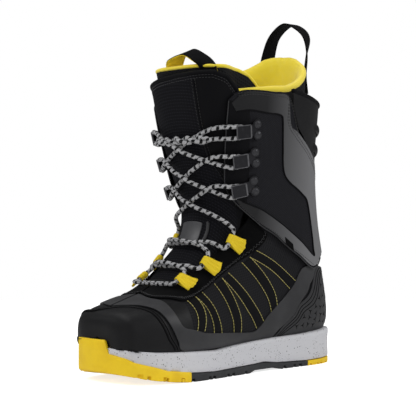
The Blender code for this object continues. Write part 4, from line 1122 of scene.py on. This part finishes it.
def bend_with_ankle(obj, slot, *nodes):
    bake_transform(obj)
    if nodes:
        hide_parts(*nodes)


def tongue_details():
    seam = smooth(TONGUE_SEAM, np.linspace(0, len(TONGUE_SEAM) - 1, 80))
    lines = []
    for shift in (-1.6, 1.6):
        lines.append(at(seam[:, 0], seam[:, 1] + shift, tongue_rise(*seam.T) + .1))
    piece = stitches("tongue_seam_stitching", BLACK_THREAD, lines, 2.2, .8, .32)
    place(piece, "cuff", "ripstop")
    welt = tube("tongue_seam", SOFTSHELL, line_on(TONGUE_SEAM, tongue_rise), .9)
    place(welt, "cuff", "ripstop")
    a = np.linspace(-60, 60, 140)
    top = interp(TONGUE_TOP, a)
    rim = at(top - .03, a * interp(TONGUE_HALF, top) / 62, tongue_rise(top, a) - .9)
    place(tube("tongue_binding", SOFTSHELL, rim, 2.0, 1.5, 12), "cuff", "ripstop")
    lines = []
    for down in (.12, .20):
        lines.append(at(top - down, a * .97, tongue_rise(top, a * .97) + .05))
    place(stitches("tongue_edge_stitching", GREY_THREAD, lines, 2.2, .9, .3), "cuff", "ripstop")
    grid = [[(v, a) for a in np.linspace(-17, 17, 30)] for v in np.linspace(6.55, 7.35, 24)]
    plate = panel("flex_plate_film", PLATE_FILM, grid,
                  lambda v, a: tongue_rise(v, a) + 1.0, 1.2, .9)
    bend_with_ankle(plate, "grey_film", "flex_plate")
    path = [(6.5, 21), (6.75, 23.5), (7.0, 24.5), (7.25, 24.5), (7.5, 23)]
    arc = tube("flex_rib", FILM, line_on(path, lambda v, a: tongue_rise(v, a) + .2, 40), 1.6)
    bend_with_ankle(arc, "grey_film")
    bend_with_ankle(tongue(), "ripstop", "tongue_instep", "tongue_shin")


# ---------------------------------------------------------------- cuff

def cuff(name, side):
    grid = band(CUFF_EDGE, CUFF_TOP, 70, 120)
    return panel(name, TWILL, on_side(grid, side), cuff_rise, 1.4, .5)


def cuff_front(name, side):
    """The smooth band under the hooks."""
    rows = []
    for v in np.linspace(9.12, 12.26, 90):
        front = 41 + 8 * (v - 9.3) / 2.96
        rows.append([(v, front + .7 + (float(interp(CUFF_SEAM, v)) - front) * t)
                     for t in np.linspace(0, 1, 12)])
    return panel(name, SOFTSHELL, on_side(rows, side), over_cuff(.45), .9, .3)


def overlay(name, side):
    grid = band(OVERLAY_OUTER, OVERLAY_INNER, 26, 260)
    return panel(name, CUFF_FILM_PAINTED_SHEEN, on_side(grid, side), over_cuff(OVERLAY_STEP),
                 1.0, .35)


def cuff_piping(name, side):
    return tube(name, SOFTSHELL, line_on(on_side(OVERLAY_INNER, side),
                                         over_cuff(.45), 300), .8)


def cuff_edge_line(name, side):
    """The thin grey bead round the cuff's front and lower edge."""
    path = [(12.24, 49.2), (11.5, 47), (10.7, 44.8), (9.9, 42.6), (9.32, 41.2), (9.04, 44),
            (8.93, 50), (8.99, 64), (9.18, 75), (9.24, 84), (9.36, 98), (9.46, 113), (9.95, 130)]
    return tube(name, FILM, line_on(on_side(path, side), over_cuff(-.1), 300),
                .6)


def cuff_stitching(name, side):
    lines = []
    for shift in (.05, .11):
        path = [(v - shift, a) for v, a in CUFF_TOP[1:6]]
        lines.append(line_on(on_side(path, side), over_cuff(.75), 80))
    rear = [(12.75, 96.5), (12.35, 97.2), (12.16, 104), (11.98, 118), (11.74, 140), (11.62, 160)]
    for shift in (0, .07):
        path = [(v - shift, a - 12 * shift) for v, a in rear]
        lines.append(line_on(on_side(path, side), over_cuff(.75), 120))
    low = [(v + .07, a) for v, a in CUFF_EDGE[1:7]]
    lines.append(line_on(on_side(low, side), over_cuff(.75), 120))
    return stitches(name, BLACK_THREAD, lines, 2.2, .8, .34)


def backstay():
    rows = []
    for v in np.linspace(11.72, 13.03, 44):
        edge = float(interp(BACKSTAY_EDGE, v))
        rows.append([(v, edge + (360 - 2 * edge) * t) for t in np.linspace(0, 1, 110)])
    obj = panel("backstay_shell", LEATHER, rows, CUFF_RISE_HIGH + .1, 1.4, .5)
    place(obj, "cuff", "black_leather", "backstay")
    path = [(13.03, a) for a in np.linspace(99, 261, 40)]
    rim = tube("backstay_rim", SOFTSHELL, line_on(path, .7, 160), 2.3, 2, 12)
    place(rim, "cuff", "black_leather")
    for name, v in (("upper", 12.55), ("lower", 12.18)):
        grid = [[(v + dv, a) for a in np.linspace(129, 231, 70)] for dv in
                np.linspace(-.08, .08, 13)]
        rib = panel(f"backstay_rib_{name}_roll", LEATHER, grid, lambda v_, a, v=v: 1.4 + 3.0 * (
            np.sqrt(np.clip(1 - ((v_ - v) / .085)**2, 0, 1))) * fade(a, 129, 136)
            * (1 - fade(a, 224, 231)), 1.2, .3)
        place(rib, "cuff", "black_leather", f"backstay_rib_{name}")


def rear_seam():
    """The tape that joins the two overlays at the back."""
    grid = [[(v, a) for a in np.linspace(173, 187, 12)] for v in np.linspace(10.34, 11.72, 40)]
    return panel("rear_seam_tape", SOFTSHELL, grid, over_cuff(1.0), 1.2, .5)


def edge_tab():
    """A small stitched tab on the lateral cuff's lower band."""
    grid = [[(v + .006 * (a - 88), a) for a in np.linspace(84.5, 92, 12)]
            for v in np.linspace(9.30, 9.44, 6)]
    return panel("cuff_tab", SUEDE, grid, over_cuff(1.3), .8, .3)


def cuffs():
    both_sides(cuff, "cuff_cloth", "cuff", "ripstop", "cuff")
    both_sides(cuff_front, "cuff_front_band", "cuff", "black_leather")
    both_sides(overlay, "cuff_film", "cuff", "grey_film", "cuff_overlay")
    both_sides(cuff_piping, "cuff_piping", "cuff", "black_leather")
    both_sides(cuff_edge_line, "cuff_edge", "cuff", "grey_film")
    both_sides(cuff_stitching, "cuff_stitching", "cuff", "black_leather")
    backstay()
    place(rear_seam(), "cuff", "black_leather")
    place(edge_tab(), "cuff", "suede")


# ---------------------------------------------------------------- liner

def v_at_height(a, z, rise):
    vs = np.linspace(10, 14, 401)
    p = at(vs, np.full(401, float(a)), np.full(401, float(rise)))
    return float(np.interp(z, p[:, 2], vs))


def collar(name, paint, start, end, profile):
    """A ring round the leg whose section is (drop below the rim in mm, rise)."""
    angles = np.linspace(start, end, 150)
    rows = []
    for a in angles:
        signed = (a + 180) % 360 - 180
        z = float(np.interp(signed, [p[0] for p in COLLAR_HEIGHT], [p[1] for p in COLLAR_HEIGHT]))
        back = 4.0 * fade(abs(signed), 70, 130)
        top = at(v_at_height(a, z, -10 - back), a, -10 - back)
        row = []
        for drop, rise in profile:
            low = v_at_height(a, z - drop, -10 - back)
            p = at(low, a, rise - back)
            if drop <= 0:
                n = normal(v_at_height(a, z, -10 - back), a)
                p = top + n * (rise + 10) + np.array((0, 0, -drop))
            row.append(p)
        rows.append(row)
    points = np.array(rows).transpose(1, 0, 2)
    return grid_object(name, points, paint)


def liner():
    outer = [(86, -9.4), (60, -9.4), (30, -9.4), (14, -9.2), (7, -9.0), (3.6, -8.9)]
    inner = [(3.8, -8.7), (2.2, -8.2), (.4, -8.4), (-1.6, -9.4), (-2.6, -11.2), (-2.4, -13.4),
             (-.8, -15.4), (2.5, -17), (8, -18.2), (20, -18.8), (45, -18.6), (80, -17.5),
             (110, -15.5), (140, -13)]
    mesh = collar("liner_mesh", HEX, 58, 302, outer)
    place(mesh, "cuff", "liner_foam", "liner_cuff")
    lining = collar("liner_lining", PLUSH, 58, 302, inner)
    place(lining, "cuff", "yellow_webbing")
    rows = []
    angles = np.linspace(-58, 84, 90)
    tops = [v_at_height(a, float(interp(LINER_TONGUE_HEIGHT, a)), -12) for a in angles]
    for t in np.linspace(0, 1, 80):
        rows.append([(7.8 + (top - 7.8) * t, a) for a, top in zip(angles, tops)])

    def pad_rise(v, a):
        return -8.6 - 12 * fade(a, 48, 64)

    place(panel("liner_tongue_pad", HEX, rows, pad_rise, 3.0, 1.2), "cuff", "liner_foam",
          "liner_tongue")
    edge = np.array([(top, a) for a, top in zip(angles, tops)])
    rim = at(edge[:, 0], edge[:, 1], pad_rise(*edge.T) - 1.2)
    place(tube("liner_tongue_binding", PLUSH, rim, 2.0), "cuff", "yellow_webbing")


# ---------------------------------------------------------------- fittings

def box_mesh(bm, centre, size, rim=.5):
    made = bmesh.ops.create_cube(bm, size=1, matrix=Matrix.Translation(Vector(centre) * MM)
                                 @ Matrix.Diagonal((*(Vector(size) * MM), 1)))
    edges = {edge for vert in made["verts"] for edge in vert.link_edges}
    bmesh.ops.bevel(bm, geom=list(edges), offset=rim * MM, segments=3, affect="EDGES")


def from_bmesh(name, bm, paints):
    mesh = bpy.data.meshes.new(name)
    bm.to_mesh(mesh)
    bm.free()
    for paint in paints:
        mesh.materials.append(paint.material)
    mesh.shade_smooth()
    mesh.set_sharp_from_angle(angle=math.radians(40))
    return mesh


def hook_meshes():
    """The hook's dark body, and its lighter rear lip and cap edges."""
    dark = bmesh.new()
    box_mesh(dark, (2, 0, .6), (22, 11, 1.2), rim=.35)
    box_mesh(dark, (-5.5, 0, 3.8), (4.4, 3.6, 6.6), rim=.4)
    box_mesh(dark, (-4.6, 0, 7.1), (14.2, 12.4, 1.5), rim=.5)
    for side in (-1, 1):
        bmesh.ops.create_cone(dark, cap_ends=True, segments=40, radius1=5 * MM, radius2=4.7 * MM,
                              depth=1.3 * MM, matrix=Matrix.Translation(
                                  Vector((13, side * 5.2, .6)) * MM))
    light = bmesh.new()
    box_mesh(light, (2.7, 0, 6.4), (2.6, 13.0, 3.0), rim=.8)
    box_mesh(light, (-11.6, 0, 6.9), (1.3, 13.0, 2.0), rim=.5)
    for side in (-1, 1):
        box_mesh(light, (-4.5, side * 6.2, 7.2), (14, .9, 1.6), rim=.35)
    return (from_bmesh("hook_body", dark, (DARK_METAL,)), from_bmesh("hook_lip", light,
                                                                    (EDGE_METAL,)))


def rivet_mesh():
    """A flat-domed rivet head with a rim, turned about its axis."""
    profile = [(0, 1.05), (1.4, 1.0), (2.2, .82), (2.5, .5), (2.75, .45), (3.0, .62), (3.4, .6),
               (3.7, .3), (3.75, -.6)]
    turn = np.linspace(0, 2 * math.pi, 40, endpoint=False)
    points = np.array([[(r * math.cos(t), r * math.sin(t), z) for t in turn]
                       for r, z in profile])
    points[0, :, :2] *= 0
    mesh = bpy.data.meshes.new("rivet_head")
    mesh.from_pydata((points.reshape(-1, 3) * MM).tolist(), [],
                     grid_faces(len(profile), 40, ring_columns=True)[:, ::-1].tolist())
    mesh.shade_smooth()
    mesh.materials.append(RIVET_METAL.material)
    return mesh


def instance(name, mesh, matrix):
    obj = bpy.data.objects.new(name, mesh.copy())
    bpy.context.scene.collection.objects.link(obj)
    obj.data.transform(matrix)
    return obj


def hooks():
    body, lip = hook_meshes()
    rivet = rivet_mesh()
    for word, side in (("lateral", 1), ("medial", -1)):
        for k, (v, a) in enumerate(HOOKS, 1):
            base = frame_at(v, side * a, HOOK_LIFT)
            if side < 0:
                base = base @ Matrix.Rotation(math.pi, 4, "Z")
            place(instance(f"hook_body_{word}_{k}", body, base), "cuff", "dark_metal",
                  f"hook_{word}_{k}")
            place(instance(f"hook_lip_{word}_{k}", lip, base), "cuff", "dark_metal")
            for row, across in enumerate((-5.2, 5.2), 1):
                seat = base @ Matrix.Translation(Vector((13, across, 1.3)) * MM)
                place(instance(f"rivet_head_{word}_{k}_{row}", rivet, seat), "cuff",
                      "dark_metal", f"rivet_{word}_{k}_{row}")


def webbing_loop(name, side, k):
    """A strip of webbing folded round the lace, fanned out where it is sewn down."""
    v, a = LOOPS[k - 1]
    base = frame_at(v, side * a, EYE_LIFT)
    if side < 0:
        base = base @ Matrix.Rotation(math.pi, 4, "Z")
    eye = LACE_RADIUS + .75
    reach, foot = 15.0, -EYE_LIFT + 1.5
    section = [(reach, foot + .9), (reach * .62, foot + 1.6), (reach * .3, 1.2), (1.6, 2.6)]
    section += [(eye * math.cos(t), eye * math.sin(t))
                for t in np.radians(np.linspace(90, 262, 14))]
    section += [(2.0, -2.4), (reach * .34, -1.9), (reach * .66, foot + .35), (reach, foot)]
    section = np.array(section)
    path = smooth(section, np.linspace(0, len(section) - 1, 90))
    share = np.clip(path[:, 0] / reach, 0, 1)
    rows = []
    for t in np.linspace(-1, 1, 25):
        half = 4.6 + 3.6 * share**.8
        point = share**3 * (1 - abs(t)) * 2.2
        pleat = .5 * np.cos(t * 11) * (.3 + share)
        rows.append(np.stack([path[:, 0] + point, t * half, path[:, 1] + pleat], -1))
    points = np.array(rows)
    world = np.array(base)
    points = points @ world[:3, :3].T + world[:3, 3] / MM
    obj = grid_object(name, points, YELLOW_TAPE)
    thicken(obj, .9, 0)
    return round_edges(obj, .25)


def loops():
    for word, side in (("lateral", 1), ("medial", -1)):
        for k in (1, 2, 3):
            place(webbing_loop(f"webbing_loop_{word}_{k}", side, k), "lower", "yellow_webbing",
                  f"lace_loop_{word}_{k}")


# ---------------------------------------------------------------- lace

# The lace at a fitting: (inwards, up, out) of its seat
ROUND_HOOK = [(12.5, 5.6, .4), (5, 4.6, 0), (1, 3.2, 0), (.1, 0, 0), (1, -3.2, 0),
              (5, -4.6, 0), (12.5, -5.6, .4)]
THROUGH_LOOP = [(3.5, 11.5, .3), (0, 6.2, 0), (0, -6.2, 0), (3.5, -11.5, .3)]
OVER, UNDER = 7.2, 2.6                          # rise of the upper and lower strand
TWIST_V, TWIST_A, TWIST_DROP = 11.2, 36, 8      # station, end angle, drop below the hooks
TWIST_RADIUS, TWIST_RISE = 2.4, 5.6
TWIST_TURNS, TWIST_STEPS = 2.5, 11
HOOK_REACH = (5.2, 16)                          # mm up or down, degrees inwards
LOOP_REACH = (.5, 8)                            # stations up or down, degrees inwards


UPWARDS = np.array((0, 0, 1.0))


def beside(v, a, side, rise, local):
    spot = frame_at(v, side * a, rise)
    return [np.array(spot @ (Vector((-side * inwards, up, out)) * MM)) / MM
            for inwards, up, out in local]


def round_hook(side, k):
    return beside(*HOOKS[k - 1], side, HOOK_LIFT + HOOK_SEAT, ROUND_HOOK)


def through_loop(side, k):
    return beside(*LOOPS[k - 1], side, EYE_LIFT, THROUGH_LOOP)


def ridge(low, high):
    """The direction up the front of the boot between two stations."""
    along = surface(high + .4, 0.0) - surface(low - .4, 0.0)
    along = along / np.linalg.norm(along) + (0, 0, 2.5)
    return along / np.linalg.norm(along)


def place_at_level(level, a, up, near):
    """The station near which the surface, at angle a, reaches a level along up."""
    vs = np.linspace(near - 1.6, near + 1.6, 65)
    return float(np.interp(level, surface(vs, np.full(65, float(a))) @ up, vs))


def across(start, end, over):
    """Points on the way over the tongue, between the (v, a) of two fittings' own ends."""
    (v0, a0), (v1, a1) = start, end
    up = ridge(min(v0, v1), max(v0, v1))
    level0, level1 = surface(v0, a0) @ up, surface(v1, a1) @ up
    middle = OVER if over else UNDER
    points = []
    for t, rise in ((.08, UNDER + 1.4), (.35, middle), (.5, middle), (.65, middle),
                    (.92, UNDER + 1.4)):
        a = a0 + (a1 - a0) * t
        v = place_at_level(level0 + (level1 - level0) * t, a, up, v0 + (v1 - v0) * t)
        points.append(at(v, a, rise))
    return points


def hook_end(side, k, up):
    v, a = HOOKS[k - 1]
    level = surface(v, a) @ UPWARDS + up * HOOK_REACH[0]
    return place_at_level(level, a - HOOK_REACH[1], UPWARDS, v), side * (a - HOOK_REACH[1])


def loop_end(side, k, up):
    v, a = LOOPS[k - 1]
    return v + up * LOOP_REACH[0], side * (a - LOOP_REACH[1])


def twisted(start_side, phase):
    """One strand of the twisted pair, level across the shaft at the top hooks."""
    points = []
    level = surface(*HOOKS[2]) @ UPWARDS - TWIST_DROP
    for k in range(TWIST_STEPS):
        t = k / (TWIST_STEPS - 1)
        a = start_side * TWIST_A * (1 - 2 * t)
        v = place_at_level(level, a, UPWARDS, TWIST_V)
        turn = 2 * math.pi * TWIST_TURNS * (t if start_side > 0 else 1 - t) + phase
        rise = surface(v + .03, a) - surface(v - .03, a)
        rise /= np.linalg.norm(rise)
        points.append(at(v, a, TWIST_RISE) + TWIST_RADIUS * (
            normal(v, a) * math.cos(turn) + rise * math.sin(turn)))
    return points


# The lace's way: kind, side and number of each fitting, the end met first (1 is the upper
# one), and whether the next crossing of the tongue is on top; None where there is none
LACE_STOPS = [("hook", -1, 3, -1, True), ("hook", 1, 2, -1, False), ("hook", -1, 1, -1, True),
              ("loop", 1, 3, 1, False), ("loop", -1, 2, 1, True), ("loop", 1, 1, 1, None),
              ("loop", -1, 1, -1, False), ("loop", 1, 2, -1, True), ("loop", -1, 3, -1, False),
              ("hook", 1, 1, 1, True), ("hook", -1, 2, 1, False), ("hook", 1, 3, 1, None)]


def lace_route():
    """From the end tucked in at the top lateral hook to the end at the top medial hook."""
    through = {"hook": round_hook, "loop": through_loop}
    end = {"hook": hook_end, "loop": loop_end}
    route = twisted(1, 0)
    for k, (kind, side, number, first, over) in enumerate(LACE_STOPS):
        route += through[kind](side, number)[::first]
        if over is not None:
            after = LACE_STOPS[k + 1]
            route += across(end[kind](side, number, -first), end[after[0]](*after[1:4]), over)
    return np.array(route + twisted(1, math.pi))


def lace():
    route = lace_route()
    curve = smooth(route, np.linspace(0, len(route) - 1, 1800))
    obj = tube("lace_braid", LACE, curve, LACE_RADIUS, .8, 16, .16)
    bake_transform(obj)
    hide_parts("lace")


# ---------------------------------------------------------------- pull loops and small parts

def pull_loops():
    """Two webbing handles; the one on the tongue is lined with yellow webbing."""
    path = [(-36, 117, 309), (-36, 120, 325), (-31, 124, 345), (-14, 126, 357), (3, 126, 351),
            (12, 127, 340), (13, 126, 322), (11.5, 125, 300), (12, 125, 281)]
    wide = [(.35, .94, 0), (.2, .98, 0), (0, 1, 0), (0, 1, 0), (0, 1, 0), (-.3, .95, 0),
            (-.68, .72, 0), (-.75, .65, 0), (-.85, .5, 0)]
    rear = ribbon("rear_finger_loop", BLACK_TAPE, path, wide, 17, 1.6)
    place(rear, "rear_loop", "black_webbing", "rear_pull_loop")
    path = [(-5, -46.5, 291), (-5.5, -47.5, 300), (2, -49, 306), (15, -49, 309.5),
            (27, -47.5, 304), (34.5, -44, 297), (35.5, -41.5, 290)]
    wide = [(-1, -.1, 0), (-.75, -.65, 0), (-.1, -.95, -.2), (0, -.92, -.4), (-.2, -.9, -.35),
            (-.7, -.7, -.1), (-.85, -.53, 0)]
    front = ribbon("tongue_finger_loop", BLACK_TAPE, path, wide, 17, .8, shift=-.4)
    place(front, "tongue_loop", "black_webbing", "tongue_pull_loop")
    lining = ribbon("tongue_finger_loop_lining", YELLOW_TAPE, path, wide, 17, .8, shift=.4)
    place(lining, "tongue_loop", "yellow_webbing")


def carried_over():
    """CAD nodes whose shape is right, with finished materials."""
    for node, paint in (("liner_foot", LINING), ("footbed", LINING), ("lasting_board", BOARD),
                        ("shank", STEEL), ("collar_clip", STEEL)):
        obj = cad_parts[node]
        for holder in obj.material_slots:
            holder.material = paint.material
        if not obj.material_slots:
            obj.data.materials.append(paint.material)


# ---------------------------------------------------------------- studio

FLOOR = 1.1            # radius of the floor, in metres


def studio():
    floor = bpy.data.meshes.new("floor")
    turn = np.linspace(0, 2 * math.pi, 64, endpoint=False)
    floor.from_pydata([(FLOOR * math.cos(t), FLOOR * math.sin(t), 0) for t in turn], [],
                      [tuple(range(64))])
    ground = bpy.data.objects.new("floor", floor)
    bpy.context.scene.collection.objects.link(ground)
    white = Paint("floor_white", (.86, .86, .86), .9, specular=.0)
    white.shader.inputs["Emission Color"].default_value = (1, 1, 1, 1)
    seen = white.node("ShaderNodeLightPath").outputs["Is Camera Ray"]
    glow = white.node("ShaderNodeMapRange", {"Value": seen, "To Min": .1, "To Max": .72})
    white.tree.links.new(glow.outputs[0], white.shader.inputs["Emission Strength"])
    floor.materials.append(white.material)

    world = bpy.data.worlds.new("studio")
    bpy.context.scene.world = world
    world.use_nodes = True
    nodes, links = world.node_tree.nodes, world.node_tree.links
    back = nodes["Background"]
    back.inputs["Color"].default_value = (1, 1, 1, 1)
    path = nodes.new("ShaderNodeLightPath")
    strength = nodes.new("ShaderNodeMapRange")
    strength.inputs["To Min"].default_value = .22
    strength.inputs["To Max"].default_value = 1.0
    links.new(path.outputs["Is Camera Ray"], strength.inputs["Value"])
    links.new(strength.outputs[0], back.inputs["Strength"])

    for name, spot, power, size in (("key", (-.7, -1.2, 1.5), 14, .8),
                                    ("fill", (1.6, -1.2, .9), 8, 1.4),
                                    ("rim", (1.5, .9, 1.1), 13, .8),
                                    ("top", (0, 0, 2.0), 7, 1.2)):
        light = bpy.data.lights.new(name, "AREA")
        light.energy = power
        light.size = size
        obj = bpy.data.objects.new(name, light)
        obj.location = spot
        aim = Vector((0, 0, .15)) - Vector(spot)
        obj.rotation_euler = aim.to_track_quat("-Z", "Y").to_euler()
        bpy.context.scene.collection.objects.link(obj)
    bpy.context.scene.view_settings.view_transform = "Standard"


def camera():
    """Level with the middle of the boot, off its front lateral quarter."""
    azimuth, elevation, distance = math.radians(45), math.radians(.8), 1.260
    target = Vector((0, 0, .135))
    back = Vector((math.sin(azimuth) * math.cos(elevation),
                   -math.cos(azimuth) * math.cos(elevation), math.sin(elevation)))
    data = bpy.data.cameras.new("camera")
    data.sensor_width = 36
    data.lens = 109.7
    data.shift_x = -.0130
    data.shift_y = .0625
    obj = bpy.data.objects.new("camera", data)
    obj.location = target + back * distance
    obj.rotation_euler = (-back).to_track_quat("-Z", "Y").to_euler()
    bpy.context.scene.collection.objects.link(obj)
    bpy.context.scene.camera = obj


camera()
lace()
lower_boot()
tongue_details()
cuffs()
liner()
hooks()
loops()
pull_loops()
carried_over()
studio()
